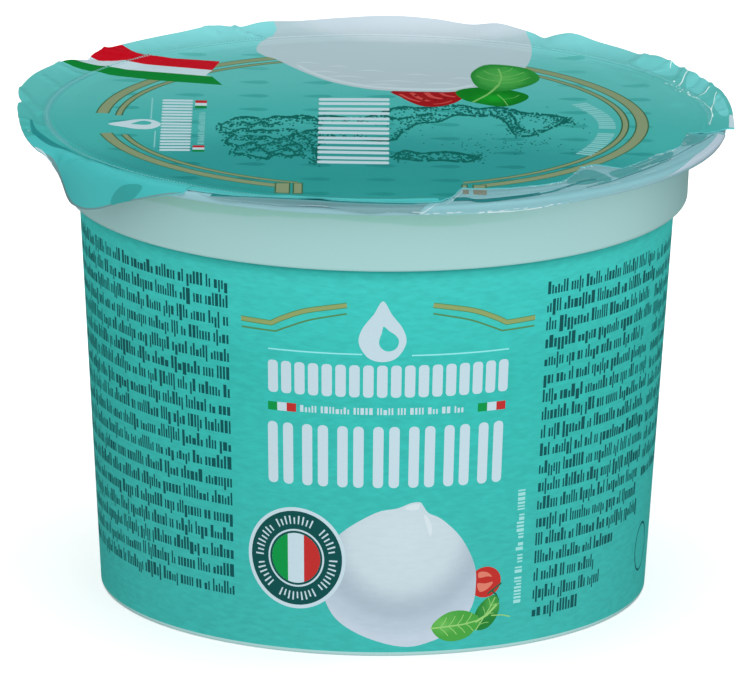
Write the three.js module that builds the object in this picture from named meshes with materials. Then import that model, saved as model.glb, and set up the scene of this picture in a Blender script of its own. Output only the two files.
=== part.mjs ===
// A sealed cup of fresh cheese: a moulded tub, filled solid, with a printed label round its wall,
// a peelable lid film on its flange, and the clear sealing strip left where the film is torn back.
// Millimetres, +Z up. The origin is the middle of the flat base, and -Y is the printed front.
import * as THREE from "three";

// Driving dimensions
const TUB_HEIGHT = 65.4;
const FLANGE_RADIUS = 47.5;
const FLANGE_THICKNESS = 1.15;
const COLLAR_TOP_RADIUS = 42.75;
const COLLAR_FOOT_RADIUS = 42.45;
const COLLAR_FOOT_Z = 55.1;
const BASE_RADIUS = 37.4;
const LABEL_BOTTOM_Z = 0.6;
const LABEL_TOP_Z = 54.85;
const LABEL_BOTTOM_RADIUS = 37.4;
const LABEL_TOP_RADIUS = 40.68;
const LABEL_THICKNESS = 0.3;
const FILM_THICKNESS = 0.3;
const FILM_CLEARANCE = 0.05;
const SEAL_RADIUS = 45.3;
const SEAL_BEAD = 0.35;
const STRIP_THICKNESS = 0.25;
const STRIP_GAP = 0.5;
const STRIP_GAP_ANGLE = 1.5;
const STRIP_STEPS = 60;

// Roundings of the tub
const BASE_ROUND = 0.5;
const SHOULDER_ROUND = 0.7;
const FLANGE_FILLET = 0.7;
const LIP_ROUND = 0.45;

// Facets round every turned piece. The cut and torn stretches start and end on a facet's edge.
const SEGMENTS = 80;
const FACET = 360 / SEGMENTS;

// The film lies flat out to just past the flange, and its free skirt starts there.
const SKIRT_RADIUS = FLANGE_RADIUS + 0.2;
const PLAIN_RADIUS = 38;
const PLAIN_RINGS = 2;
const RIM_STEPS = [0.62, (SEAL_RADIUS - PLAIN_RADIUS) / (SKIRT_RADIUS - PLAIN_RADIUS), 0.9, 1];
const SKIRT_RINGS = 3;

// Along the front the film stops at the seal, and from there to the right it is torn further back.
const FRONT_FROM = -121.5;
const FRONT_RADIUS = 45;
const TORN_FROM = -81;
const TORN_TO = -9;
const TORN_RADIUS = 41;
const TORN_HEM = 0.3;

// Skirt of the film: the width that stands out past the flange, and how it tilts, by angle.
const SKIRT_LEAST = 0.9;
const BACK_ANGLE = 105;
const BACK_SPREAD = 100;
const BACK_WIDTH = 2.4;
const BACK_TILT = 24;
const BACK_WAVES = 11;
const BACK_WAVE_TILT = 9;
const DROOP_ANGLE = -143;
const DROOP_SPREAD = 21;
const DROOP_WIDTH = 5.2;
const DROOP_TILT = -82;

const radians = THREE.MathUtils.degToRad;
const mix = THREE.MathUtils.lerp;

// 1 at the centre angle, falling smoothly to 0 at the spread on either side, in degrees.
function bump(angle, centre, spread) {
  const apart = THREE.MathUtils.euclideanModulo(angle - centre + 180, 360) - 180;
  const share = Math.min(Math.abs(apart) / spread, 1);
  return Math.cos((Math.PI / 2) * share) ** 2;
}

// 1 between two angles and 0 outside them, changing over one facet at either end.
function stretch(angle, from, to) {
  return THREE.MathUtils.clamp(Math.min(angle - from, to - angle) / FACET, 0, 1);
}

// Points of a quarter round in the profile plane, from one angle to another.
function arc(centreR, centreZ, radius, from, to) {
  const steps = 3;
  return Array.from({ length: steps + 1 }, (_, i) => {
    const turn = radians(mix(from, to, i / steps));
    return [centreR + radius * Math.cos(turn), centreZ + radius * Math.sin(turn)];
  });
}

// A body turned about Z from a profile of [radius, height] points.
function turned(profile) {
  const points = profile.map(([radius, height]) => new THREE.Vector2(radius, height));
  return new THREE.LatheGeometry(points, SEGMENTS).rotateX(Math.PI / 2);
}

function plastic(color, roughness, opacity = 1) {
  const transparent = opacity < 1;
  return new THREE.MeshStandardMaterial({ color, roughness, metalness: 0, opacity, transparent });
}

function named(name, geometry, material) {
  const mesh = new THREE.Mesh(geometry, material);
  mesh.name = name;
  return mesh;
}

// The label's seat on the wall: the tub and the label share these points, so they meet face to face.
const SEAT_BOTTOM = [LABEL_BOTTOM_RADIUS - LABEL_THICKNESS, LABEL_BOTTOM_Z];
const SEAT_TOP = [LABEL_TOP_RADIUS - LABEL_THICKNESS, LABEL_TOP_Z];

function makeTub() {
  const flangeFoot = TUB_HEIGHT - FLANGE_THICKNESS;
  const shoulderRadius = COLLAR_FOOT_RADIUS - SHOULDER_ROUND;
  const lipRadius = FLANGE_RADIUS - LIP_ROUND;
  const profile = [
    [0, 0],
    ...arc(BASE_RADIUS - BASE_ROUND, BASE_ROUND, BASE_ROUND, -90, 0),
    [BASE_RADIUS, LABEL_BOTTOM_Z],
    SEAT_BOTTOM,
    SEAT_TOP,
    [SEAT_TOP[0], COLLAR_FOOT_Z],
    ...arc(shoulderRadius, COLLAR_FOOT_Z + SHOULDER_ROUND, SHOULDER_ROUND, -90, 0),
    ...arc(COLLAR_TOP_RADIUS + FLANGE_FILLET, flangeFoot - FLANGE_FILLET, FLANGE_FILLET, 180, 90),
    ...arc(lipRadius, flangeFoot + LIP_ROUND, LIP_ROUND, -90, 0),
    ...arc(lipRadius, TUB_HEIGHT - LIP_ROUND, LIP_ROUND, 0, 90),
    [0, TUB_HEIGHT],
  ];
  return named("tub", turned(profile), plastic("#a6cfcd", 0.45));
}

function makeLabel() {
  const profile = [
    SEAT_BOTTOM,
    [LABEL_BOTTOM_RADIUS, LABEL_BOTTOM_Z],
    [LABEL_TOP_RADIUS, LABEL_TOP_Z],
    SEAT_TOP,
    SEAT_BOTTOM,
  ];
  return named("label", turned(profile), plastic("#49bfb7", 0.5));
}

// Radius at which the film's flat part ends: past the flange, at the seal, or at the tear.
function flatEdge(angle) {
  const cut = mix(FRONT_RADIUS, TORN_RADIUS, stretch(angle, TORN_FROM, TORN_TO));
  return mix(SKIRT_RADIUS, cut, free(angle));
}

// 1 along the front and the tear, where the film has no skirt, and 0 elsewhere.
function free(angle) {
  return stretch(angle, FRONT_FROM, TORN_TO);
}

function skirtWidth(angle) {
  const back = BACK_WIDTH * bump(angle, BACK_ANGLE, BACK_SPREAD);
  const droop = DROOP_WIDTH * bump(angle, DROOP_ANGLE, DROOP_SPREAD);
  return mix(SKIRT_LEAST + back + droop, TORN_HEM, free(angle));
}

// Degrees above the flange's plane: up at the back in waves, down over the lip at the front left.
function skirtTilt(angle) {
  const wave = BACK_WAVE_TILT * Math.sin(BACK_WAVES * radians(angle));
  const back = (BACK_TILT + wave) * bump(angle, BACK_ANGLE, BACK_SPREAD);
  const droop = DROOP_TILT * bump(angle, DROOP_ANGLE, DROOP_SPREAD);
  return (back + droop) * (1 - free(angle));
}

// A ring of the film's section at one angle: its radius, its height and its tilt.
function filmSection(ring, angle) {
  if (ring <= PLAIN_RINGS) return { radius: (PLAIN_RADIUS * ring) / PLAIN_RINGS, rise: 0, tilt: 0 };
  const edge = flatEdge(angle);
  const tilt = radians(skirtTilt(angle));
  const step = ring - PLAIN_RINGS - 1;
  if (step < RIM_STEPS.length - 1)
    return { radius: mix(PLAIN_RADIUS, edge, RIM_STEPS[step]), rise: 0, tilt: 0 };
  const along = (skirtWidth(angle) * (step - RIM_STEPS.length + 1)) / SKIRT_RINGS;
  const lean = along > 0 ? tilt : tilt / 2;
  return { radius: edge + along * Math.cos(tilt), rise: along * Math.sin(tilt), tilt: lean };
}

// A point of the film: side 0 is the underside and side 1 the top, a film's thickness away.
function filmPoint(ring, side, angle) {
  const { radius, rise, tilt } = filmSection(ring, angle);
  const sealed = ring === PLAIN_RINGS + 2 && side === 1;
  const bead = sealed ? SEAL_BEAD * (1 - free(angle)) : 0;
  const away = side * FILM_THICKNESS;
  const reach = radius - away * Math.sin(tilt);
  const turn = radians(angle);
  const height = TUB_HEIGHT + FILM_CLEARANCE + rise + away * Math.cos(tilt) + bead;
  return [reach * Math.cos(turn), reach * Math.sin(turn), height];
}

// The film starts as a turned grid whose radius counts the rings and whose height is the side.
function makeLidFilm() {
  const rings = PLAIN_RINGS + RIM_STEPS.length + SKIRT_RINGS;
  const outward = Array.from({ length: rings + 1 }, (_, ring) => [ring, 0]);
  const inward = outward.map(([ring]) => [ring, 1]).reverse();
  const geometry = turned([...outward, ...inward]);
  const place = geometry.attributes.position;
  for (let i = 0; i < place.count; i += 1) {
    const ring = Math.round(Math.hypot(place.getX(i), place.getY(i)));
    const angle = THREE.MathUtils.radToDeg(Math.atan2(place.getY(i), place.getX(i)));
    place.setXYZ(i, ...filmPoint(ring, Math.round(place.getZ(i)), angle));
  }
  geometry.computeVertexNormals();
  return named("lid_film", geometry, plastic("#4fb0ab", 0.25));
}

// A flat ragged band on the flange that follows the film's cut and torn edge at a small gap.
function makeSealStrip() {
  const from = FRONT_FROM + FACET + STRIP_GAP_ANGLE;
  const to = TORN_TO - FACET - STRIP_GAP_ANGLE;
  const outline = (radiusAt) =>
    Array.from({ length: STRIP_STEPS + 1 }, (_, i) => {
      const angle = mix(from, to, i / STRIP_STEPS);
      const reach = radiusAt(angle);
      return new THREE.Vector2(reach * Math.cos(radians(angle)), reach * Math.sin(radians(angle)));
    });
  const outside = outline((angle) => FLANGE_RADIUS - 0.4 + 0.25 * Math.sin(17 * radians(angle)));
  const inside = outline((angle) => stripInside(angle) + 0.12 * Math.sin(29 * radians(angle)));
  const shape = new THREE.Shape([...outside, ...inside.reverse()]);
  const geometry = new THREE.ExtrudeGeometry(shape, { depth: STRIP_THICKNESS, bevelEnabled: false });
  const strip = named("seal_strip", geometry, plastic("#b8d6dc", 0.2, 0.6));
  strip.position.z = TUB_HEIGHT + FILM_CLEARANCE;
  return strip;
}

// The strip's inner edge steps in a facet after the film's own edge does, so that the two stay apart.
function stripInside(angle) {
  const step = stretch(angle, TORN_FROM + STRIP_GAP_ANGLE, TORN_TO);
  return mix(FRONT_RADIUS, TORN_RADIUS, step) + TORN_HEM + STRIP_GAP;
}

const cup = new THREE.Group();
cup.add(makeTub(), makeLabel(), makeLidFilm(), makeSealStrip());

export default cup;
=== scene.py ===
"""A sealed dairy cup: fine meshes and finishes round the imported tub, label, lid film and clear layer.

Sizes are in millimetres until a mesh is made. Angles are in degrees round Z from +X, so -90 is the front.
The print is a flat drawing whose fields of ink are cut into one mesh, which is then laid on its surface.
"""

import math
import random

import bpy
import numpy as np
from mathutils import Matrix, Vector
from mathutils.geometry import delaunay_2d_cdt


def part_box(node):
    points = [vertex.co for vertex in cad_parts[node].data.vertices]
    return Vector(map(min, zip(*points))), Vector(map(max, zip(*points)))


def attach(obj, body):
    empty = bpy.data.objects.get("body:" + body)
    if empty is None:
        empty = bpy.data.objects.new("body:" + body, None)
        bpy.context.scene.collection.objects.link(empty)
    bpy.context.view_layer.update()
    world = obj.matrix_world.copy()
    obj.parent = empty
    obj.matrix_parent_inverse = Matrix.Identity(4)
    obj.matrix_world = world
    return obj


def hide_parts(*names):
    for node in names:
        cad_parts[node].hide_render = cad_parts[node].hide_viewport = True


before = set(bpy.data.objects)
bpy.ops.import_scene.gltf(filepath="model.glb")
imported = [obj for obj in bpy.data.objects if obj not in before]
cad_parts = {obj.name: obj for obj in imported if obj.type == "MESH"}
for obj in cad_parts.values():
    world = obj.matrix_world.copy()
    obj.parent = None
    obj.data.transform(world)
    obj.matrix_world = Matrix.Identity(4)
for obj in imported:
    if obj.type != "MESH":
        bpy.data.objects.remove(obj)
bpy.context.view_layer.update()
MM = 0.001

# Driving sizes, from the frame's own boxes and, where a box can't say, from the part's dimensions.
TUB_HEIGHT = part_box("tub")[1].z / MM
FLANGE_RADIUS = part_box("tub")[1].x / MM
LABEL_BOTTOM_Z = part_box("label")[0].z / MM
LABEL_TOP_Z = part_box("label")[1].z / MM
LABEL_TOP_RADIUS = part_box("label")[1].x / MM
LABEL_BOTTOM_RADIUS = 37.4
LABEL_THICKNESS = 0.3
FLANGE_THICKNESS = 1.15
COLLAR_TOP_RADIUS = 42.75
COLLAR_FOOT_RADIUS = 42.45
COLLAR_FOOT_Z = 55.1
BASE_ROUND = 0.5
SHOULDER_ROUND = 0.7
FLANGE_FILLET = 0.7
LIP_ROUND = 0.45

# The film lies on the flange up to the seal, and its free edge starts just past it.
FILM_TOP = TUB_HEIGHT + 0.35
FILM_THICKNESS = 0.2
SEAL_RADIUS = 45.3
FREE_RADIUS = 45.9
CLEAR_TOP = TUB_HEIGHT + 0.12
CLEAR_THICKNESS = 0.08
CLEAR_FREE_RADIUS = 46.4

# Camera: far away with a narrow view, looking down a little and turned slightly about its axis.
LENS = 689.3
SENSOR = 36.0
CAMERA_DISTANCE = 1973.06
CAMERA_ELEVATION = 15.386
CAMERA_ROLL = 0.617
CAMERA_AIM = (0.089, 0.0, 34.587)
FARTHEST_SEEN = 30000


def colour(red, green, blue):
    """A display colour, 0 to 255, as linear red, green, blue and alpha."""
    def linear(value):
        value /= 255
        return value / 12.92 if value <= 0.04045 else ((value + 0.055) / 1.055) ** 2.4
    return (linear(red), linear(green), linear(blue), 1.0)


def mix(low, high, share):
    """The value a share of the way from low to high."""
    return low + (high - low) * share


def smooth(share):
    """0 below 0 and 1 above 1, with a soft step between them."""
    share = np.clip(share, 0, 1)
    return share * share * (3 - 2 * share)


def polar(radius, angle):
    """Plan places at a radius and an angle, or at many."""
    angle = np.radians(angle)
    return np.stack([radius * np.cos(angle), radius * np.sin(angle)], axis=-1)


def polar_line(radius, angles):
    """Points at given angles round Z, as a list; radius is one number or one for each angle."""
    return list(map(tuple, polar(radius, angles)))


def along_polar(spots):
    """Points from (radius, angle) pairs, as a list."""
    return [tuple(polar(radius, angle)) for radius, angle in spots]


# ---------------------------------------------------------------- outlines of the print

# An outline's longest side, and how close two points may come before they are made one.
LONGEST_SIDE = 1.5
SAME_POINT = 1e-5


def arc(centre, radius, start, end, step=3.0):
    """Points of a round or oval arc; radius is a number or an (x, y) pair."""
    count = max(2, int(abs(end - start) / step) + 1)
    angles = np.radians(np.linspace(start, end, count))
    wide, high = radius if isinstance(radius, tuple) else (radius, radius)
    return [(centre[0] + wide * math.cos(a), centre[1] + high * math.sin(a)) for a in angles]


def oval(centre, radius, step=6.0):
    """A whole circle or ellipse."""
    return arc(centre, radius, 0, 360 - step, step)


def band(centre, inner, outer, start, end, step=2.0):
    """A stretch of a ring, as one outline."""
    return arc(centre, outer, start, end, step) + arc(centre, inner, end, start, step)


def block(left, right, bottom, top):
    """A rectangle."""
    return [(left, bottom), (right, bottom), (right, top), (left, top)]


def soft_block(left, right, bottom, top, corner):
    """A block with round corners."""
    corners = ((right - corner, top - corner, 0), (left + corner, top - corner, 90),
               (left + corner, bottom + corner, 180), (right - corner, bottom + corner, 270))
    return [p for x, y, start in corners for p in arc((x, y), corner, start, start + 90, 30)]


def stroke(points, width):
    """An open line drawn with a width; a (wide, high) pair makes it thicker one way than the other."""
    path = np.array(points, float)
    ahead = np.gradient(path, axis=0)
    ahead /= np.linalg.norm(ahead, axis=1)[:, None]
    side = np.stack([-ahead[:, 1], ahead[:, 0]], axis=1) * np.array(width) / 2
    return list(map(tuple, path + side)) + list(map(tuple, (path - side)[::-1]))


def rounded(points, steps=6, closed=True):
    """A smooth line through a few points."""
    path = np.array(points, float)
    count = len(path)
    line = []
    for i in range(count if closed else count - 1):
        near = range(i - 1, i + 3)
        around = [path[j % count if closed else min(max(j, 0), count - 1)] for j in near]
        for t in np.arange(steps) / steps:
            before, here, there, after = around
            line.append(tuple(0.5 * (2 * here + (there - before) * t
                                     + (2 * before - 5 * here + 4 * there - after) * t * t
                                     + (3 * here - before - 3 * there + after) * t ** 3)))
    return line if closed else line + [tuple(path[-1])]


def shifted(outline, centre, scale=1.0, turn=0.0):
    """An outline drawn round the origin, scaled, turned and put in place."""
    cosine, sine = math.cos(math.radians(turn)) * scale, math.sin(math.radians(turn)) * scale
    return [(centre[0] + x * cosine - y * sine, centre[1] + x * sine + y * cosine) for x, y in outline]


def with_short_sides(outline):
    """The outline with its long sides divided, so that it follows a curved surface."""
    line = []
    for (ax, ay), (bx, by) in zip(outline, outline[1:] + outline[:1]):
        parts = max(1, math.ceil(math.hypot(bx - ax, by - ay) / LONGEST_SIDE))
        line += [(mix(ax, bx, i / parts), mix(ay, by, i / parts)) for i in range(parts)]
    return line


class Drawing:
    """Fields of ink on a flat sheet. A later field covers an earlier one."""

    def __init__(self, outline, ground):
        self.points = []
        self.faces = []
        self.inks = []
        self.field(ground, outline)

    def field(self, ink, outline):
        """Lays an ink inside a closed outline."""
        outline = with_short_sides([tuple(map(float, point)) for point in outline])
        ahead = outline[1:] + outline[:1]
        area = sum(a[0] * b[1] - b[0] * a[1] for a, b in zip(outline, ahead))
        first = len(self.points)
        self.points.extend(outline if area > 0 else outline[::-1])
        self.faces.append(list(range(first, len(self.points))))
        self.inks.append(ink)

    def line(self, ink, points, width, steps=0):
        """A line drawn with a width; steps between its points make it smooth."""
        path = rounded(points, steps, closed=False) if steps else points
        self.field(ink, stroke(path, width))

    def refine(self, points):
        """Loose points that make the triangles small enough to follow the surface."""
        self.points.extend(tuple(map(float, point)) for point in points)

    def triangles(self):
        """Points, triangles, each triangle's ink, and which point each drawn point became."""
        flat = [Vector(point) for point in self.points]
        found, _, faces, origins, _, fields = delaunay_2d_cdt(flat, [], self.faces, 0, SAME_POINT, True)
        inside = [(face, self.inks[max(field)]) for face, field in zip(faces, fields) if 0 in field]
        used = sorted({v for face, _ in inside for v in face})
        place = {v: i for i, v in enumerate(used)}
        points = np.array([found[v][:] for v in used])
        triangles = np.array([[place[v] for v in face] for face, _ in inside])
        came_from = {o: place[v] for v in used for o in origins[v]}
        return points, triangles, [ink for _, ink in inside], came_from


# ---------------------------------------------------------------- meshes

SHARP_ANGLE = 40
NORMAL_STEP = 0.03


def make_piece(name, points, faces, materials, face_materials=None, normals=None):
    """A mesh object from millimetre points. normals are one for each corner of each face."""
    mesh = bpy.data.meshes.new(name)
    mesh.from_pydata((np.asarray(points) * MM).tolist(), [], faces)
    for material in materials:
        mesh.materials.append(material)
    if face_materials is not None:
        mesh.polygons.foreach_set("material_index", face_materials)
    mesh.polygons.foreach_set("use_smooth", [True] * len(mesh.polygons))
    if normals is not None:
        mesh.normals_split_custom_set(normals.tolist())
    mesh.update()
    piece = bpy.data.objects.new(name, mesh)
    bpy.context.scene.collection.objects.link(piece)
    return piece


def surface_normals(place, flat):
    """Normals of a surface at places on its drawing."""
    along = place(flat + [NORMAL_STEP, 0]) - place(flat - [NORMAL_STEP, 0])
    across = place(flat + [0, NORMAL_STEP]) - place(flat - [0, NORMAL_STEP])
    normals = np.cross(along, across)
    return normals / np.linalg.norm(normals, axis=1)[:, None]


def outline_of(triangles):
    """The one closed outline of a triangulated sheet, as point numbers in order."""
    sides = {(a, b) for face in triangles.tolist() for a, b in zip(face, face[1:] + face[:1])}
    ahead = {a: b for a, b in sides if (b, a) not in sides}
    loop = [next(iter(sorted(ahead)))]
    while ahead[loop[-1]] != loop[0]:
        loop.append(ahead[loop[-1]])
    if len(loop) != len(ahead):
        raise ValueError("the sheet has more than one outline")
    return loop


def make_sheet(name, drawing, place, thickness, inner_points, materials, back, rim):
    """A closed thin body: the drawing laid on a surface, a plain back a thickness behind it, and a rim."""
    front, front_faces, inks, _ = drawing.triangles()
    loop = outline_of(front_faces)
    plain = Drawing(front[loop], back)
    plain.refine(inner_points)
    rear, rear_faces, _, came_from = plain.triangles()
    front_normals = surface_normals(place, front)
    rear_normals = surface_normals(place, rear)
    points = np.concatenate([place(front), place(rear) - rear_normals * thickness])
    first = len(front)
    behind = [first + came_from[i] for i in range(len(loop))]
    rim_faces = np.array([[b, a, c, d] for a, b, c, d in
                          zip(loop, loop[1:] + loop[:1], behind, behind[1:] + behind[:1])])
    corners = points[rim_faces]
    rim_normals = np.cross(corners[:, 2] - corners[:, 0], corners[:, 3] - corners[:, 1])
    rim_normals /= np.linalg.norm(rim_normals, axis=1)[:, None] + 1e-12
    normals = np.concatenate([front_normals[front_faces].reshape(-1, 3),
                              -rear_normals[rear_faces[:, ::-1]].reshape(-1, 3),
                              np.repeat(rim_normals, 4, axis=0)])
    faces = front_faces.tolist() + (rear_faces[:, ::-1] + first).tolist() + rim_faces.tolist()
    order = sorted(set(inks) | {back, rim})
    number = {ink: i for i, ink in enumerate(order)}
    shades = [number[ink] for ink in inks] + [number[back]] * len(rear_faces) + [number[rim]] * len(rim_faces)
    return make_piece(name, points, faces, [materials[ink] for ink in order], shades, normals)


def make_turned(name, profile, segments, material):
    """A closed body turned about Z from a profile that starts and ends on the axis."""
    ring = profile[1:-1]
    angles = np.linspace(0, 360, segments, endpoint=False)
    points = [(0, 0, profile[0][1])]
    for radius, height in ring:
        points += [(x, y, height) for x, y in polar(radius, angles)]
    points.append((0, 0, profile[-1][1]))

    def corner(level, i):
        return 1 + level * segments + i % segments

    top, last = len(ring) - 1, len(points) - 1
    faces = [(0, corner(0, i + 1), corner(0, i)) for i in range(segments)]
    for level in range(top):
        faces += [(corner(level, i), corner(level, i + 1), corner(level + 1, i + 1), corner(level + 1, i))
                  for i in range(segments)]
    faces += [(corner(top, i), corner(top, i + 1), last) for i in range(segments)]
    piece = make_piece(name, points, faces, [material])
    piece.data.set_sharp_from_angle(angle=math.radians(SHARP_ANGLE))
    return piece


# ---------------------------------------------------------------- finishes

class Shading:
    """The nodes of a material or of the world. A socket takes a value, or the output that feeds it."""

    def __init__(self, owner, shader="Principled BSDF"):
        owner.use_nodes = True
        self.tree = owner.node_tree
        self.shader = self.tree.nodes[shader]

    def join(self, node, sockets):
        """Feeds a node's sockets by name or number."""
        for socket, value in sockets.items():
            if isinstance(value, bpy.types.NodeSocket):
                self.tree.links.new(value, node.inputs[socket])
            else:
                node.inputs[socket].default_value = value

    def add(self, kind, sockets, output=0, **settings):
        """Makes a node and gives its output."""
        node = self.tree.nodes.new("ShaderNode" + kind)
        for name, value in settings.items():
            setattr(node, name, value)
        self.join(node, sockets)
        return node.outputs[output]

    def place(self):
        """The place on the object, in its own metres."""
        return self.add("TexCoord", {}, "Object")

    def math(self, operation, *values):
        """One sum, product or comparison."""
        return self.add("Math", dict(enumerate(values)), operation=operation)

    def graded(self, value, start, end, first=0, last=1, kind="LINEAR"):
        """A value between start and end, turned into one between first and last."""
        sockets = {"Value": value, "From Min": start, "From Max": end, "To Min": first, "To Max": last}
        return self.add("MapRange", sockets, interpolation_type=kind)

    def blended(self, share, first, last, kind="FLOAT"):
        """The share of the way from first to last."""
        return self.add("Mix", {"Factor": share, "A": first, "B": last}, "Result", data_type=kind)

    def noise(self, scale, detail=3.0, stretch=(1, 1, 1)):
        """Noise on the object, stretched along its axes."""
        place = self.add("Mapping", {"Vector": self.place(), "Scale": stretch})
        return self.add("TexNoise", {"Vector": place, "Scale": scale, "Detail": detail}, "Fac")

    def add_grain(self, noise, strength, depth):
        """Fine relief, with its depth in millimetres."""
        bump = {"Height": noise, "Strength": strength, "Distance": depth * MM}
        self.join(self.shader, {"Normal": self.add("Bump", bump, "Normal")})


# Grain of the printed films: its noise, its relief, and how strongly the film mirrors.
LABEL_GRAIN = dict(scale=1100, detail=2.0, stretch=(0.5, 0.5, 1.6), strength=0.7, depth=0.09, gloss=0.1)
FILM_GRAIN = dict(scale=160, detail=4.0, stretch=(1, 1, 1), strength=0.2, depth=0.1, gloss=0.12)
DEEP_GRAIN = dict(FILM_GRAIN, gloss=0.03)
MOTTLE_SCALE = 700


def grain_noise(ink, grain):
    """The noise that a film's grain is made from."""
    return ink.noise(grain["scale"], grain["detail"], grain["stretch"])


def plain_ink(name, shade, roughness, grain):
    """One ink of the print: its own colour, with the grain of the film that it is printed on."""
    material = bpy.data.materials.new(name)
    ink = Shading(material)
    ink.join(ink.shader, {"Base Color": colour(*shade), "Roughness": roughness,
                          "Specular IOR Level": grain["gloss"]})
    ink.add_grain(grain_noise(ink, grain), grain["strength"], grain["depth"])
    return material


def blended_ink(name, stops, centre, radii, roughness, grain, mottle=0.12, speckle=0.0):
    """An ink whose colour changes outward from a centre, in millimetres, with mottling and a fine speckle."""
    material = plain_ink(name, (255, 255, 255), roughness, grain)
    ink = Shading(material)
    away = ink.add("VectorMath", {0: ink.place(), 1: [value * MM for value in centre]}, operation="SUBTRACT")
    scaled = ink.add("VectorMath", {0: away, 1: [value * MM for value in radii]}, operation="DIVIDE")
    length = ink.add("VectorMath", {0: scaled}, "Value", operation="LENGTH")
    blend = ink.add("ValToRGB", {"Fac": ink.math("MULTIPLY_ADD", ink.noise(MOTTLE_SCALE), mottle, length)})
    ramp = blend.node.color_ramp
    ramp.interpolation = "EASE"
    for i, (position, shade) in enumerate(stops):
        element = ramp.elements[i] if i < 2 else ramp.elements.new(position)
        element.position = position
        element.color = colour(*shade)
    level = ink.graded(grain_noise(ink, grain), 0.3, 0.7, 1 - speckle, 1 + speckle)
    ink.join(ink.shader, {"Base Color": ink.add("VectorMath", {0: blend, "Scale": level}, operation="SCALE")})
    return material


# The green-tinged band under the flange, which is the flange's painted shadow: its ragged lower edge,
# and where it fades out to the right.
BAND_WAVE = 3.4
BAND_EDGE = (63.3, 63.8)
BAND_END = (8, 26)


def tub_plastic():
    """Pale moulded plastic: a bluer flange, lightened in part as a painted highlight, and a green-tinged
    uneven band of painted shadow close under it.
    """
    material = bpy.data.materials.new("tub_plastic")
    tub = Shading(material)
    axes = tub.add("SeparateXYZ", {"Vector": tub.place()}).node.outputs
    height = tub.math("MULTIPLY_ADD", tub.noise(55, 2.0, (1, 1, 0.6)), BAND_WAVE * MM, axes["Z"])
    in_painted_shadow = tub.graded(height, BAND_EDGE[0] * MM, BAND_EDGE[1] * MM, kind="SMOOTHSTEP")
    under = tub.math("LESS_THAN", axes["Z"], (TUB_HEIGHT - FLANGE_THICKNESS + 0.1) * MM)
    fade = tub.graded(axes["X"], BAND_END[0] * MM, BAND_END[1] * MM, 1, 0)
    share = tub.math("MULTIPLY", tub.math("MULTIPLY", in_painted_shadow, under), fade)
    # wall carries the flange's painted shadow; whole adds the flange's colour, lightened in part as painted
    # highlight
    wall = tub.blended(share, colour(167, 213, 212), colour(150, 206, 196), "RGBA")
    whole = tub.blended(under, colour(146, 196, 205), wall, "RGBA")
    tub.join(tub.shader, {"Base Color": whole, "Roughness": 0.38})
    tub.add_grain(tub.noise(260, 3.0, (1, 1, 0.25)), 0.12, 0.1)
    return material


def clear_film(name, shade, opacity):
    """Thin wrinkled film that lets the flange show through."""
    material = bpy.data.materials.new(name)
    film = Shading(material)
    film.join(film.shader, {"Base Color": colour(*shade), "Roughness": 0.16, "Alpha": opacity})
    film.add_grain(film.noise(260, 2.0, (0.5, 1, 1)), 0.25, 0.1)
    return material


# ---------------------------------------------------------------- tub

TUB_SEGMENTS = 288
BASE_RECESS = 0.35
# The top face inside the flange is a little sunk, between these distances inside the collar.
TOP_SINK = 0.3
TOP_SLOPE = (0.6, 1.2)


def make_tub():
    """The tub, with a shallow moulded ring and a central mark under its base."""
    flange_foot = TUB_HEIGHT - FLANGE_THICKNESS
    seat_bottom = (LABEL_BOTTOM_RADIUS - LABEL_THICKNESS, LABEL_BOTTOM_Z)
    seat_top = (LABEL_TOP_RADIUS - LABEL_THICKNESS, LABEL_TOP_Z)
    base_corner = (LABEL_BOTTOM_RADIUS - BASE_ROUND, BASE_ROUND)
    shoulder = (COLLAR_FOOT_RADIUS - SHOULDER_ROUND, COLLAR_FOOT_Z + SHOULDER_ROUND)
    fillet = (COLLAR_TOP_RADIUS + FLANGE_FILLET, flange_foot - FLANGE_FILLET)
    lip = FLANGE_RADIUS - LIP_ROUND
    profile = [(0, BASE_RECESS), (3.2, BASE_RECESS), (3.6, 0.5), (4.0, 0.5), (4.4, BASE_RECESS)]
    profile += [(31.5, BASE_RECESS), (32.4, 0.2), (33.2, 0.0)]
    profile += arc(base_corner, BASE_ROUND, -90, 0, 15)
    profile += [(LABEL_BOTTOM_RADIUS, LABEL_BOTTOM_Z), seat_bottom]
    for share in (0.33, 0.66):
        profile.append((mix(seat_bottom[0], seat_top[0], share), mix(seat_bottom[1], seat_top[1], share)))
    profile += [seat_top, (seat_top[0], COLLAR_FOOT_Z)]
    profile += arc(shoulder, SHOULDER_ROUND, -90, 0, 10)
    profile += arc(fillet, FLANGE_FILLET, 180, 90, 15)
    profile += arc((lip, flange_foot + LIP_ROUND), LIP_ROUND, -90, 0, 15)
    profile += arc((lip, TUB_HEIGHT - LIP_ROUND), LIP_ROUND, 0, 90, 15)
    profile += [(COLLAR_TOP_RADIUS - TOP_SLOPE[0], TUB_HEIGHT)]
    profile += [(radius, TUB_HEIGHT - TOP_SINK) for radius in (COLLAR_TOP_RADIUS - TOP_SLOPE[1], 0)]
    return make_turned("moulded_tub", profile, TUB_SEGMENTS, tub_plastic())


# ---------------------------------------------------------------- label

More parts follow.
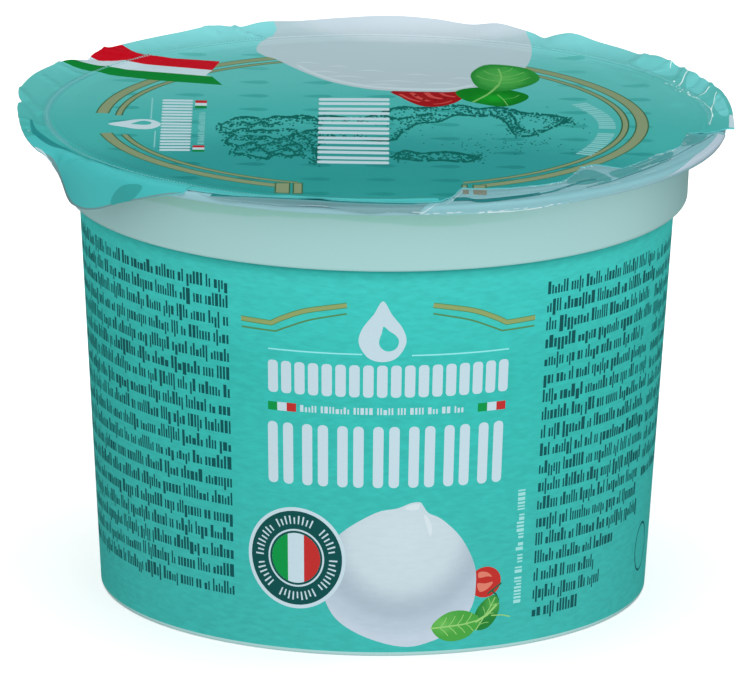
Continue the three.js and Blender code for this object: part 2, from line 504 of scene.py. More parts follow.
# The label's drawing is unrolled at its mean radius: ARC is one degree of it in millimetres.
LABEL_RADIUS = 39.0
ARC = math.pi * LABEL_RADIUS / 180
LABEL_EDGE = 179.9 * ARC
LABEL_TILT = (LABEL_TOP_RADIUS - LABEL_BOTTOM_RADIUS) / (LABEL_TOP_Z - LABEL_BOTTOM_Z)
LABEL_SEGMENTS = 480
PRINT_PITCH = 2.55
PRINT_WIDTHS = (0.27, 0.27, 0.32, 0.48)
PRINT_HEIGHTS = (1.25, 1.25, 1.25, 1.8, 1.8, 0.95)
BOLD = 1.35
TICK_WIDTHS = (0.22, 0.22, 0.3, 0.46)


def on_label(flat):
    """The label's outer face. Across is the arc from the front, and up is the height."""
    angle = flat[:, 0] / LABEL_RADIUS
    radius = LABEL_BOTTOM_RADIUS + LABEL_TILT * (flat[:, 1] - LABEL_BOTTOM_Z)
    return np.stack([radius * np.sin(angle), -radius * np.cos(angle), flat[:, 1]], axis=1)


def small_print(drawing, flush, limits, far, top, dice):
    """Rows of plain upright ticks in word-like groups, from the flush side to each row's limit. A last
    group may pass the limit, but not the far side."""
    side = 1 if far > flush else -1
    for row, limit in enumerate(limits):
        base = top - row * PRINT_PITCH
        x = flush
        while side * (limit - x) > 2.0:
            bold = dice.random() < 0.2
            for _ in range(dice.randint(2, 9)):
                wide = dice.choice(PRINT_WIDTHS) * (BOLD if bold else 1)
                tall = dice.choice(PRINT_HEIGHTS)
                low = base - (0.5 if dice.random() < 0.1 else 0)
                left, right = sorted((x, x + side * wide))
                if side * (far - x) > 0:
                    drawing.field("text", block(left, right, low, base + tall))
                x += side * (wide + 0.18)
            x += side * 0.38


def laid(left, right, bottom, top, upright):
    """The sides of a block in a row that runs across or, where its marks aren't upright, up the drawing."""
    return (left, right, bottom, top) if upright else (bottom, top, left, right)


def glyph_places(drawing, ink, left, right, bottom, top, count, gap, slit, corner, upright=True):
    """A row of soft blocks, each split by a slit, in place of a word."""
    pitch = (right - left + gap) / count
    for i in range(count):
        start = left + i * pitch
        end = start + pitch - gap
        bar = (end - start - slit) / 2
        for low, high in ((start, start + bar), (end - bar, end)):
            drawing.field(ink, soft_block(*laid(low, high, bottom, top, upright), corner))


def tick_row(drawing, ink, start, end, base, height, dice, upright=True):
    """A row of thin ticks in word-like groups, in place of a small caption."""
    x = start
    while x < end - 1.0:
        for _ in range(dice.randint(2, 8)):
            wide = dice.choice(TICK_WIDTHS)
            top = base + height * dice.choice((1, 1, 1, 0.72))
            drawing.field(ink, block(*laid(x, x + wide, base, top, upright)))
            x += wide + 0.2
        x += 0.4


def tricolour(drawing, left, right, bottom, top, upright=True):
    """A small block in three colours."""
    third = (right - left) / 3
    for i, ink in enumerate(("green", "pale", "red")):
        drawing.field(ink, block(*laid(left + i * third, left + (i + 1) * third, bottom, top, upright)))


LEAF = [(-5.2, 0.2), (-3.6, 2.0), (-0.8, 3.0), (2.6, 2.4), (5.0, 0.2), (2.8, -2.5), (-0.6, -3.2),
        (-3.6, -2.2)]
MIDRIB = [(-5.4, 0.2), (-2, 0.05), (1.5, -0.1), (4.4, 0.1)]


def draw_leaf(drawing, ink, centre, scale, turn, veins=4):
    """A leaf with a midrib and side veins."""
    drawing.field(ink, shifted(rounded(LEAF), centre, scale, turn))
    drawing.field("vein", shifted(stroke(MIDRIB, 0.3), centre, scale, turn))
    for i in range(veins):
        x = mix(-3.4, 2.0, i / (veins - 1))
        for side in (1, -1):
            line = [(x, 0.1 * side), (x + 0.9, 0.95 * side), (x + 1.5, 1.9 * side)]
            drawing.field("vein", shifted(stroke(line, 0.16), centre, scale, turn))


# The badge's ticks are left out at these places of each half. Its disc has a pale middle stripe.
BADGE_TICKS = 54
BADGE_GAPS = (6, 7, 17, 26)
HALF_TICK = 1.15
DISC_RADIUS = 3.45
HALF_STRIPE = 1.15


def draw_badge(drawing, centre):
    """A round badge: a pale rim, a dark ring with plain ticks, and a disc in three colours."""
    def disc(radius):
        return radius, radius * 1.03

    for ink, radius in (("pale", 7.0), ("dark", 6.5)):
        drawing.field(ink, oval(centre, disc(radius), 5))
    for i in range(BADGE_TICKS):
        if i % (BADGE_TICKS // 2) not in BADGE_GAPS:
            turn = i * 360 / BADGE_TICKS + 12
            reach = 5.85 if i % 3 else 5.6
            ends = (turn - HALF_TICK, turn + HALF_TICK)
            drawing.field("pale", band(centre, disc(4.7), disc(reach), *ends, HALF_TICK))
    for ink, radius in (("pale", 4.0), ("dark", 3.75), ("pale", DISC_RADIUS)):
        drawing.field(ink, oval(centre, disc(radius), 6))
    lean = math.degrees(math.asin(HALF_STRIPE / DISC_RADIUS))
    for ink, turn in (("green", 180), ("red", 0)):
        drawing.field(ink, arc(centre, disc(DISC_RADIUS), turn - 90 + lean, turn + 90 - lean, 8))


# The curved gold lines of the front, left of its middle, as (angle, height) points, and the maker's drop.
FRONT_MIDDLE = 2.8
THICK_LINE = [(-20.4, 46.7), (-17.8, 47.66), (-13.1, 48.92), (-5.5, 49.92)]
THIN_LINE = [(-19.5, 45.6), (-17.1, 46.36), (-12.4, 47.65), (-5.5, 48.74)]
FRONT_DROP = [(0, 4.3), (1.2, 2.4), (2.7, 0.3), (3.1, -1.7), (1.9, -3.7), (0, -4.3), (-1.9, -3.7),
              (-3.1, -1.7), (-2.7, 0.3), (-1.2, 2.4)]


def draw_front(drawing, dice):
    """The printed front of the label. Its middles and widths are angles, turned into arcs."""
    thick = [(-26.7, 46.85)] + rounded(THICK_LINE, 5, closed=False)
    thin = [(-26.6, 45.7)] + rounded(THIN_LINE, 5, closed=False)
    for side in (1, -1):
        upper, lower = ([((side * (angle - FRONT_MIDDLE) + FRONT_MIDDLE) * ARC, z) for angle, z in line]
                        for line in (thick, thin))
        drawing.line("gold_edge", upper, 0.78)
        drawing.line("gold", upper, 0.56)
        drawing.line("gold_edge", lower, 0.24)
    for low, high, z in ((-21.1, -2.5, 42.95), (7.1, 26.8, 42.8)):
        drawing.field("rule", block(low * ARC, high * ARC, z, z + 0.2))
    drawing.field("pale", shifted(rounded(FRONT_DROP), (1.4 * ARC, 46.3)))
    drawing.field("ground", shifted(rounded(FRONT_DROP), (2.4 * ARC, 45.3), 0.42, 18))
    glyph_places(drawing, "pale", -21.2 * ARC, 26.8 * ARC, 36.95, 41.5, 9, 0.45, 0.45, 0.5)
    for left, right in ((-21.3, -15.5), (20.6, 26.5)):
        tricolour(drawing, left * ARC, right * ARC, 34.4, 35.6)
    tick_row(drawing, "pale", -14.7 * ARC, 19.3 * ARC, 34.5, 0.95, dice)
    glyph_places(drawing, "pale", -21.4 * ARC, 26.2 * ARC, 24.1, 32.8, 7, 1.25, 0.75, 0.6)
    draw_cheese(drawing, (5.7 * ARC, 11.2))
    draw_badge(drawing, (-15.8 * ARC, 13.6))
    tick_row(drawing, "pale_small", 6.3, 21.1, 32.0 * ARC, -1.15, dice, upright=False)


def draw_cheese(drawing, centre):
    """A round cheese with its knot, a slice of tomato with its stalk, and two leaves."""
    x, z = centre
    drawing.field("tomato", oval((x + 12.2, z - 1.3), (2.4, 2.2), 10))
    for flesh in ([(11.2, 0.2), (12.4, 0.1), (13.2, -0.6), (12.4, -0.5), (11.2, -0.6)],
                  [(11.0, -1.4), (12.2, -1.5), (13.4, -1.4), (12.6, -2.3), (11.4, -2.6)]):
        drawing.field("tomato_flesh", rounded(shifted(flesh, centre), 3))
    for stalk in ([(12.6, -3.0), (13.6, -2.4), (14.7, -1.7)], [(13.2, -2.6), (13.9, -3.2), (14.4, -4.2)]):
        drawing.line("stalk", shifted(stalk, centre), 0.24)
    body = [(-10.9, -1.2), (-10.2, 3.2), (-8.3, 6.35), (-3.7, 9.3), (-0.6, 10.0), (1.2, 10.7), (2.45, 10.8),
            (2.9, 10.3), (3.7, 9.2), (5.6, 8.2), (8.4, 5.4), (10.4, 1.6), (10.8, -1.4), (10.3, -4.6),
            (8.0, -7.6), (3.8, -9.4), (0.2, -9.8), (-4.7, -8.5), (-8.5, -6.4), (-10.3, -3.9)]
    drawing.field("cheese", shifted(rounded(body, 4), centre))
    for fold in ([(0.4, 10.0), (1.4, 10.5), (2.4, 10.5), (2.2, 9.8), (1.2, 9.7)],
                 [(3.0, 8.9), (3.6, 8.6), (4.2, 7.2), (4.0, 5.8), (3.5, 7.2)]):
        drawing.field("cheese_light", shifted(rounded(fold, 3), centre))
    draw_leaf(drawing, "leaf_back", (x + 12.6, z - 5.7), 0.54, 58, 3)
    draw_leaf(drawing, "leaf", (x + 8.1, z - 7.1), 0.7, 6)
    for stem, width, start in (([(0, 0), (1.8, 0.9), (3.2, 2.2)], 0.34, (x + 10.9, z - 6.9)),
                               ([(0, 0), (1.6, -0.1), (3.0, -0.5)], 0.16, (x + 13.3, z - 6.2))):
        drawing.field("vein", shifted(stroke(stem, width), start))


def draw_oval_mark(drawing, centre):
    """A plain oval outline, as on the side of many food packs."""
    for ink, radii in (("text", (2.75, 3.5)), ("ground", (2.45, 3.2))):
        drawing.field(ink, oval(centre, radii, 8))


# The blocks of small print, from the front round to the back: the flush side's and the far side's angle,
# the first row's height, the rows, and the angles at which the last rows end.
PRINT_BLOCKS = (
    (-29.6, -104, 50.5, 18, ()), (35.0, 69.5, 49.8, 19, (62, 54, 56, 48.5)), (71, 106, 49.3, 13, ()),
    (112, 174, 49.3, 18, ()), (-112, -174, 50.0, 18, ()))


def make_label(materials):
    """The label, closed all round but for a hairline seam at the back."""
    across = np.linspace(-LABEL_EDGE, LABEL_EDGE, LABEL_SEGMENTS + 1)
    outline = [(x, LABEL_BOTTOM_Z) for x in across] + [(x, LABEL_TOP_Z) for x in across[::-1]]
    drawing = Drawing(outline, "ground")
    dice = random.Random(7)
    for flush, far, top, rows, last in PRINT_BLOCKS:
        ends = [far] * (rows - len(last)) + list(last)
        small_print(drawing, flush * ARC, [end * ARC for end in ends], far * ARC, top, dice)
    draw_oval_mark(drawing, (74.9 * ARC, 8.0))
    draw_front(drawing, dice)
    rows = np.arange(LABEL_BOTTOM_Z + 2.0, LABEL_TOP_Z - 1, 2.6)
    drawing.refine([(x, z) for z in rows for x in across[1:-1:2]])
    coarse = [(x, z) for z in rows[::4] for x in across[2:-2:4]]
    return make_sheet("printed_label", drawing, on_label, LABEL_THICKNESS * 0.8, coarse, materials,
                      "back", "label_rim")


# ---------------------------------------------------------------- lid film

def round_curve(points):
    """A smooth closed curve through (angle, value) points: gives the value at any angles."""
    points = sorted(points)
    spots = np.array([a for a, _ in points[-2:]]) - 360
    angles = np.concatenate([spots, [a for a, _ in points], [points[0][0] + 360, points[1][0] + 360]])
    values = np.array([v for _, v in points[-2:] + points + points[:2]])
    slopes = np.gradient(values, angles)

    def value_at(angle):
        angle = (np.asarray(angle, float) - points[0][0]) % 360 + points[0][0]
        i = np.clip(np.searchsorted(angles, angle, side="right") - 1, 0, len(angles) - 2)
        width = angles[i + 1] - angles[i]
        t = (angle - angles[i]) / width
        start = (2 * t ** 3 - 3 * t ** 2 + 1) * values[i] + (t ** 3 - 2 * t ** 2 + t) * width * slopes[i]
        return start + (3 * t ** 2 - 2 * t ** 3) * values[i + 1] + (t ** 3 - t ** 2) * width * slopes[i + 1]
    return value_at


# Plan radius of the film's free edge, and how far the edge stands above or hangs below the flange's top.
EDGE_REACH = round_curve([
    (-114, 47.6), (-124, 48.0), (-135, 48.3), (-142, 48.6), (-148, 48.4), (-152, 48.3), (-155, 48.8),
    (-159, 49.2), (-165, 49.2), (-173, 49.0), (-179.5, 49.1), (175, 49.3), (173, 49.1), (171.4, 49.7),
    (169, 50.2), (165, 50.4), (160, 50.7), (150, 50.6), (135, 50.6), (120, 50.8), (60, 50.8), (45, 50.3),
    (30, 49.6), (16, 49.1), (8, 48.8), (2, 48.6), (-6, 48.8), (-60, 48.0)])
EDGE_LIFT = round_curve([
    (-6, 0.2), (2, 0.4), (9, 0.7), (16, 1.0), (22, 0.8), (27, 1.1), (32, 0.8), (40, 1.2), (43, 0.7),
    (48, 0.8), (53, 1.0), (58, 1.5), (63, 0.5), (67, 1.0), (71, 1.5), (75, 1.0), (81, 1.45), (88, 1.7),
    (96, 1.4),
    (103, 1.15), (109, 1.3), (112.5, 0.85), (116, 1.4), (123, 1.15), (135, 0.95), (140, 0.9), (144, 0.4),
    (148, 1.0), (155, 1.15), (163, 1.1), (168.5, 1.0), (171, 0.95), (173, 0.6), (175.5, 0.7),
    (-179.5, 0.5), (-173, 0.3), (-166, 0.0), (-160, -0.3), (-156, -0.7), (-153, -2.4), (-150, -5.2),
    (-146, -5.8), (-141, -5.1),
    (-135.5, -3.3), (-131.5, -2.2), (-127, -1.0), (-123.5, -0.25), (-121, 0.2), (-117, 0.34), (-110, 0.35),
    (-60, 0.35)])


# Control points of the free edge's section: how far the inner two are from its ends, and where the lip
# holds them once the edge hangs down by FULL_HANG.
EDGE_START = 1.7
EDGE_END = 1.6
LIP_LIFT = 0.7
HANG_RADIUS = 48.7
HANG_LIFT = 0.5
FULL_HANG = 3


def section(angle):
    """Control points of the free edge's section, as (radius, height) over the seal, by angle."""
    reach, lift = EDGE_REACH(angle), EDGE_LIFT(angle)
    hang = np.clip(-lift / FULL_HANG, 0, 1)
    base = FILM_TOP - TUB_HEIGHT
    return ((np.full_like(reach, FREE_RADIUS), np.full_like(reach, base)),
            (np.full_like(reach, FREE_RADIUS + EDGE_START), mix(base, LIP_LIFT, hang)),
            (mix(reach - EDGE_END, HANG_RADIUS, hang), mix(base + 0.25 * (lift - base), HANG_LIFT, hang)),
            (reach, lift))


def free_width(angle):
    """Width of the free edge, measured along the film."""
    spots = section(angle)
    steps = [np.hypot(b[0] - a[0], b[1] - a[1]) for a, b in zip(spots, spots[1:])]
    chord = np.hypot(spots[3][0] - spots[0][0], spots[3][1] - spots[0][1])
    return (sum(steps) + chord) / 2


def near_line(x, y, points, width):
    """1 on a line through the points, falling to 0 within about its width."""
    nearest = np.full(x.shape, np.inf)
    for (ax, ay), (bx, by) in zip(points, points[1:]):
        length = (bx - ax) ** 2 + (by - ay) ** 2
        t = np.clip(((x - ax) * (bx - ax) + (y - ay) * (by - ay)) / length, 0, 1)
        nearest = np.minimum(nearest, np.hypot(x - ax - t * (bx - ax), y - ay - t * (by - ay)))
    return np.exp(-(nearest / width) ** 2)


def bent(away, free_radius, top, weights, spots):
    """Radius and height on a film that is flat out to its free radius and bends past it."""
    flat = away < free_radius
    radius = sum(weight * spot[0] for weight, spot in zip(weights, spots))
    height = TUB_HEIGHT + sum(weight * spot[1] for weight, spot in zip(weights, spots))
    return np.where(flat, away, radius), np.where(flat, top, height)


# Creases of the film and ripples of its middle: width and height, then (radius, angle) points.
CREASES = [
    (0.7, -0.25, (49.8, 171.4), (48.1, 175.2), (46.7, 178.8), (45.9, -177.4), (45.7, -173.6)),
    (0.7, 0.25, (50.4, 168), (48.7, 172), (47.1, 176), (46.0, 179.6)),
    (0.4, -0.3, (48.6, -170.5), (47.2, -165.2), (46.3, -160), (45.9, -153), (46.0, -147.6)),
    (0.6, 0.25, (50.2, -150), (48.6, -147), (47.2, -141)),
    (0.5, -0.2, (50.6, -144), (49.2, -141), (47.8, -136)),
    (0.5, 0.18, (50.4, -138), (49.2, -135), (48.0, -131)),
    (0.5, 0.25, (48.9, -176), (47.4, -174), (46.2, -170)),
    (0.5, 0.25, (50.0, 158), (47.5, 160), (46, 163)),
    (0.5, 0.25, (50.5, 151), (48, 152), (46.2, 153)),
    (0.7, -0.5, (51.5, 143.5), (48.4, 141.5), (46.2, 138.5)),
    (0.5, 0.35, (51, 139), (48.5, 137), (46.5, 135.5)),
    (0.35, 0.35, (52, 113.5), (48.5, 112.5), (46.2, 111)),
    (0.35, 0.25, (52, 118.5), (49, 117.5)),
    (0.8, -0.35, (51.5, 63.5), (48, 61), (46, 59)),
    (0.6, 0.3, (51.5, 43), (48, 41.5), (45.5, 40.5)),
    (0.55, 0.25, (51, 36), (48.5, 35), (45, 34.5)),
    (0.4, 0.35, (50.4, 32.4), (48, 29.8), (45.8, 26.4)),
    (0.6, -0.3, (50, 26.5), (47.5, 24), (45, 22)),
    (0.4, 0.3, (49.6, 21.6), (47.8, 18.6), (45.6, 15)),
    (0.5, -0.22, (48.8, 14), (47, 12), (45, 9)),
    (0.5, 0.2, (48.4, 6), (46.6, 5), (45, 2)),
]
RIPPLES = [
    (0.7, 0.12, (42.5, 46), (43.4, 34), (43.0, 22), (42.0, 12)),
    (0.9, 0.1, (40.5, 40), (41.2, 28), (40.6, 16), (39.6, 6)),
    (0.6, 0.14, (44.2, 30), (43.6, 18), (43.0, 8), (42.6, 0)),
]


# Relief of the film: the pressed seal and its knurls, a thin bead inside it, and the middle, which is sunk
# a little and lies in slow waves.
SEAL_RISE, SEAL_WIDTH = 0.16, 0.28
KNURL_RISE, KNURLS = 0.05, 300
BEAD_RISE, BEAD_WIDTH, BEAD_INSET = 0.10, 0.22, 0.85
SINK, SINK_RADIUS, SINK_SLOPE = 0.16, 44.2, 1.8
WAVE_RISE, WAVE_RADIUS = 0.05, 44
# Where the film is cut and torn, from the left to the right, its seal isn't pressed.
UNSEALED_FROM, UNSEALED_TO = -125, -4


def on_film(flat):
    """The film's top face. The drawing is the film laid out flat, with the same centre and angles."""
    x, y = flat[:, 0], flat[:, 1]
    away = np.hypot(x, y)
    angle = np.degrees(np.arctan2(y, x))
    t = np.clip((away - FREE_RADIUS) / free_width(angle), 0, 1.05)
    weights = ((1 - t) ** 3, 3 * t * (1 - t) ** 2, 3 * t * t * (1 - t), t ** 3)
    radius, height = bent(away, FREE_RADIUS, FILM_TOP, weights, section(angle))
    knurl = 0.5 + 0.5 * np.sin(np.radians(angle) * KNURLS)
    sealed = 1 - smooth((angle - UNSEALED_FROM) / 6) * smooth((UNSEALED_TO - angle) / 4)
    height += sealed * (SEAL_RISE + KNURL_RISE * knurl) * np.exp(-((away - SEAL_RADIUS) / SEAL_WIDTH) ** 2)
    height += BEAD_RISE * np.exp(-((away - SEAL_RADIUS + BEAD_INSET) / BEAD_WIDTH) ** 2)
    height -= SINK * smooth((SINK_RADIUS - away) / SINK_SLOPE)
    height += WAVE_RISE * np.sin(x / 7.1 + 0.7) * np.sin(y / 9.3 + 0.4) * smooth((WAVE_RADIUS - away) / 6)
    for width, rise, *spots in CREASES:
        height += rise * near_line(x, y, along_polar(spots), width) * smooth((away - 44.0) / 2.2)
    for width, rise, *spots in RIPPLES:
        height += rise * near_line(x, y, along_polar(spots), width)
    return np.column_stack([polar(radius, angle), height])


# The film's edge along the front, from the left, and its tear, as (radius, angle) points.
FRONT_EDGE = [(47.2, -122.6), (47.3, -119.5), (46.7, -115.4), (45.7, -110.2), (44.9, -104.3), (44.6, -100),
              (44.9, -96.4), (45.2, -89.5), (45.6, -84), (45.5, -79.4)]
TEAR = [(44.4, -77.8), (42.4, -76), (38.7, -73), (40.1, -68.5), (40.7, -64.8), (41.1, -60), (41.4, -53),
        (39.4, -48), (37.5, -43), (37.9, -39), (41.9, -38), (41.9, -34), (41.9, -26), (43.2, -19),
        (42.6, -8.8), (45.3, -8.6), (46.0, -7.7), (47.0, -6.3), (48.3, -4.9)]
# Width of the clear hem by angle, where the film hangs.
HEM_ANGLES = (-158, -155, -151, -147, -130, -125, -121)
HEM_WIDTHS = (0, 0.5, 0.45, 0.1, 0.1, 0.25, 0)


def torn_line(dice, steps=7, rough=0.16):
    """The tear, with small teeth between its chosen points."""
    line = []
    for (r1, a1), (r2, a2) in zip(TEAR, TEAR[1:]):
        for t in np.arange(steps) / steps:
            line.append((mix(r1, r2, t) + dice.uniform(-rough, rough), mix(a1, a2, t)))
    return line + [TEAR[-1]]


# The free edge goes round the right, the back and the left from one angle to the other.
FREE_FROM, FREE_TO = -4.5, 360 - 122.4


def film_outline(dice):
    """The whole outline of the printed film, in the drawing's plan."""
    angles = np.arange(FREE_FROM, FREE_TO, 0.75)
    free = polar_line(FREE_RADIUS + free_width(angles), angles)
    front = rounded(along_polar(FRONT_EDGE), 8, closed=False)
    return free + front + along_polar(torn_line(dice))


# The gold bands, as inner and outer radius, width of the dark edge, and the angles at which they stop at
# the upper left, start again, stop at the front's left foot and start again at its right foot. The feet
# are given by their sides.
RING_CENTRE = (-0.8, -2.2)
RINGS = ((36.15, 37.6, 0.2, -184.5, -168, -108.8, -66.1), (34.25, 34.9, 0.22, -183, -166, -106.5, -69.0))
RING_ENDS = (-249, 62)
FEET = ((-13.5, -11.8), (-11.1, -10.1), (11.5, 12.0), (13.0, 14.5))


def draw_rings(drawing):
    """Two gold bands with darker edges, broken at the left and at the front, where they end in feet."""
    for inner, outer, edge, upper, lower, left, right in RINGS:
        for start, end in ((RING_ENDS[0], upper), (lower, left), (right, RING_ENDS[1])):
            for ink, grow in (("gold_edge", edge), ("gold", 0)):
                drawing.field(ink, band(RING_CENTRE, inner - grow, outer + grow, start, end, 1.5))
    for left, right in FEET:
        drawing.field("gold_edge", block(left - 0.2, right + 0.2, -41.2, -35.4))
        drawing.field("gold", block(left, right, -40.8, -35.7))


def draw_ribbon(drawing):
    """A ribbon in three colours that runs off the film's edge."""
    green = [(-52, 31), (-38.4, 22.3), (-30.8, 19.1), (-21.4, 17.0), (-22.9, 21.6), (-37.4, 25.6), (-50, 33)]
    white = [(-50, 33), (-37.4, 25.6), (-22.9, 21.6), (-23.8, 22.2), (-22.9, 25.1), (-35, 28.8),
             (-38.5, 30.1), (-48, 37)]
    red = [(-48, 37), (-38.5, 30.1), (-35, 28.8), (-22.9, 25.1), (-21.9, 30), (-32.6, 32.5), (-36.9, 37.4),
           (-41, 42)]
    for ink, outline in (("flag_green", green), ("pale", white), ("flag_red", red)):
        drawing.field(ink, outline)


# The lid's cheese, tomato slice and leaves. Folds are (x, y, half length); veins are a width and points.
CHEESE = [(-16.9, 36), (-15.6, 33), (-14.2, 31.5), (-10.9, 25.6), (-6.8, 19.7), (-2.4, 16.1), (1.4, 14.6),
          (6.9, 14.2), (10.9, 14.6), (15.4, 18.5), (18.9, 24.2), (20.7, 30), (21.3, 38), (20.6, 46), (18, 54),
          (-13, 54), (-14.2, 47), (-15.0, 43.4), (-16.6, 40)]
CHEESE_RIM = [(-11.2, 28.4), (-9.2, 24.6), (-6.0, 20.4), (-2.0, 17.4), (2.0, 16.0), (6.6, 15.5),
              (10.2, 16.0), (13.0, 18.2)]
CHEESE_FOLDS = ((-7.6, 24.6, 2.4), (-4.4, 22.0, 3.0), (-1.0, 25.4, 2.0), (2.6, 19.6, 3.4), (5.4, 23.4, 2.2),
                (8.8, 18.6, 2.6), (-9.8, 29.4, 1.8), (11.6, 21.6, 1.6), (0.6, 17.6, 2.4), (-5.6, 27.6, 1.6))
TOMATO = [(2.2, 14.6), (3.2, 11.0), (4.6, 8.2), (6.4, 6.1), (9.0, 6.6), (11.2, 9.6), (11.6, 14.5)]
TOMATO_FLESH = ((0.5, (3.0, 12.8), (4.4, 10.2), (5.8, 8.6)), (0.7, (4.6, 13.6), (5.6, 10.8), (7.0, 9.0)),
                (0.8, (6.6, 13.8), (7.4, 11.4), (8.8, 10.4)), (0.6, (8.6, 13.6), (9.4, 12.2), (10.6, 11.6)),
                (0.35, (7.6, 7.4), (9.0, 8.0), (10.2, 9.6)))
TOMATO_SEEDS = ((5.2, 12.0), (7.9, 9.6), (9.2, 10.9), (6.3, 9.9))
BACK_LEAF = [(10.7, 14.6), (11.7, 10.2), (13.9, 8.1), (17.2, 6.6), (19.9, 9.6), (20.6, 13.2), (17.6, 16.2),
             (13.6, 17)]
FRONT_LEAF = [(15.4, 30), (13.2, 26.4), (12.8, 22.2), (13.9, 16.8), (16.65, 15.0), (20.5, 18.0),
              (22.3, 22.6), (20.4, 28)]
LEAF_VEINS = (
    (0.42, (13.0, 8.8), (15.2, 13.6), (16.6, 18.6)), (0.24, (16.6, 18.6), (17.0, 23), (16.6, 27.6)),
    (0.15, (16.8, 19.4), (19.2, 20.6), (21.0, 23.0)), (0.15, (16.8, 20.6), (15.0, 21.4), (13.6, 23.6)),
    (0.15, (16.9, 22.6), (18.8, 23.8), (20.2, 26.0)), (0.15, (16.9, 23.6), (15.5, 24.6), (14.6, 26.4)),
    (0.15, (16.8, 25.2), (18.0, 26.4), (18.6, 28.2)), (0.12, (16.7, 21.4), (18.0, 21.6), (19.4, 22.6)),
    (0.15, (17.8, 7.2), (17.2, 10.6), (16.4, 13.2)), (0.12, (17.2, 10.6), (18.6, 11.6), (19.4, 13.2)))


def draw_lid_cheese(drawing):
    """The round pale cheese at the back of the lid, a tomato slice and two leaves."""
    drawing.field("lid_tomato", rounded(TOMATO, 4))
    for width, *line in TOMATO_FLESH:
        drawing.line("lid_flesh", line, width, 4)
    for spot in TOMATO_SEEDS:
        drawing.field("lid_seed", oval(spot, (0.25, 0.5), 60))
    drawing.field("lid_cheese", rounded(CHEESE, 4))
    for x, y, wide in CHEESE_FOLDS:
        fold = [(x - wide, y), (x, y + 0.9), (x + wide, y - 0.3), (x, y + 0.3)]
        drawing.field("lid_sheen", rounded(fold, 3))
    drawing.line("lid_sheen", CHEESE_RIM, (0.5, 1.1), 5)
    drawing.field("lid_leaf_back", rounded(BACK_LEAF, 4))
    drawing.field("lid_leaf", rounded(FRONT_LEAF, 4))
    for width, *line in LEAF_VEINS:
        drawing.line("lid_vein", line, width, 4)


def dotted_line(drawing, dice, points, spread, shade=1, dots=3, bold=1.0):
    """An engraved contour: a broken dark line, with small dots that thin out on its shaded side."""
    path = rounded(points, 8, closed=False)
    for here, there in zip(path, path[1:]):
        if dice.random() < 0.9:
            drawing.field("stipple", stroke([here, there], (0.24 * bold, dice.uniform(0.5, 1.0) * bold)))
        for _ in range(dots):
            away = shade * abs(dice.gauss(0, spread))
            x, y = here[0] + dice.uniform(-0.7, 0.7), here[1] - away + dice.uniform(-0.2, 0.2)
            wide, high = dice.uniform(0.12, 0.23), dice.uniform(0.26, 0.52)
            dot(drawing, "stipple", (x, y), (wide, high))


# The ragged outline of the left patch of engraving, and its inner folds.
PATCH = [(-21.3, -5), (-19.3, -1), (-17.3, -0.5), (-15.4, -1.6), (-14, 0.2), (-12, 0), (-10.4, 0.8),
         (-8.3, -1.2), (-8, -6.6), (-10, -8.2), (-7.8, -12), (-8.3, -18.8), (-8.1, -24.8), (-10.2, -20.4),
         (-12.1, -21.4), (-13.4, -20.2), (-15.2, -22.8), (-17.9, -20.6), (-19.4, -20), (-19, -16.2),
         (-20.6, -14), (-19.5, -10.1), (-21.1, -8.7), (-21.3, -5)]
PATCH_FOLDS = (
    ((-20.4, -5.6), (-18.4, -3.2), (-17.2, -4.6), (-15.8, -3.0), (-14.6, -4.6), (-13.2, -2.6)),
    ((-19.8, -8.0), (-18.2, -6.4), (-17.4, -8.4), (-16.0, -6.6), (-14.6, -8.2), (-13.0, -7.0)),
    ((-18.8, -12.4), (-17.6, -10.4), (-16.6, -12.6), (-15.2, -10.8), (-13.8, -12.8), (-12.4, -11.2)),
    ((-18.2, -16.0), (-16.8, -14.2), (-15.6, -16.4), (-14.0, -14.6), (-12.8, -16.6), (-11.4, -15.0)),
    ((-17.8, -18.8), (-16.0, -17.6), (-14.4, -19.4), (-12.6, -17.6), (-11.2, -19.2), (-9.8, -17.0)),
    ((-12.4, -6.4), (-11.0, -8.8), (-12.0, -12.6), (-10.2, -15.4)),
    ((-11.6, -9.6), (-10.0, -12.0), (-9.2, -15.6), (-8.8, -19.6)))
# The long folds at the right, as the side that is shaded and the points, and clouds of loose dots, as
# middle, spread and count.
LONG_FOLDS = (
    (1, (-13, 0), (-10, -0.8), (-7, 0.6), (-3, -0.6), (0, 1.8), (1.8, 4.6), (3.7, 5.8), (6, 5.2), (8.7, 6.6),
     (11.5, 7.0), (13.8, 5.2), (16.1, 6.2), (18.4, 5.2), (19.9, 3.4), (22.3, 2.8), (25.3, 1.2), (26.6, -1)),
    (-1, (-8, -10.6), (-4, -11.4), (1.8, -12.2), (3.3, -8), (5.6, -3), (8.3, -2), (10.7, 1.7), (13.8, 1.2),
     (16.1, 1.5), (17.6, -2.4), (18.7, -8.4), (20.6, -9.2), (23, -6), (24.9, -2.2), (26, -0.8)),
    (1, (17.2, 4.2), (18.6, 1.0), (19.0, -3.6), (20.2, -6.2)),
    (1, (0.4, 2.2), (2.6, -0.6), (5.2, 1.0), (8, 2.6)),
    (1, (2.2, -20.6), (3.7, -17.6), (6, -18.9), (9.1, -18), (12.1, -19.4), (13.9, -20.8)),
    (-1, (2.4, -21.4), (5.3, -22.7), (9.1, -22.6), (12.1, -23.2), (13.9, -20.8)))
DOT_CLOUDS = ((15, -15, 9, 5, 46), (21, -13, 5, 4, 24), (24, 0, 4, 5, 40), (4, -4, 4, 6, 34),
              (13.4, -20.8, 1.6, 3, 22), (3.6, -20.6, 1.6, 2.4, 22))
PATCH_DOTS = 70


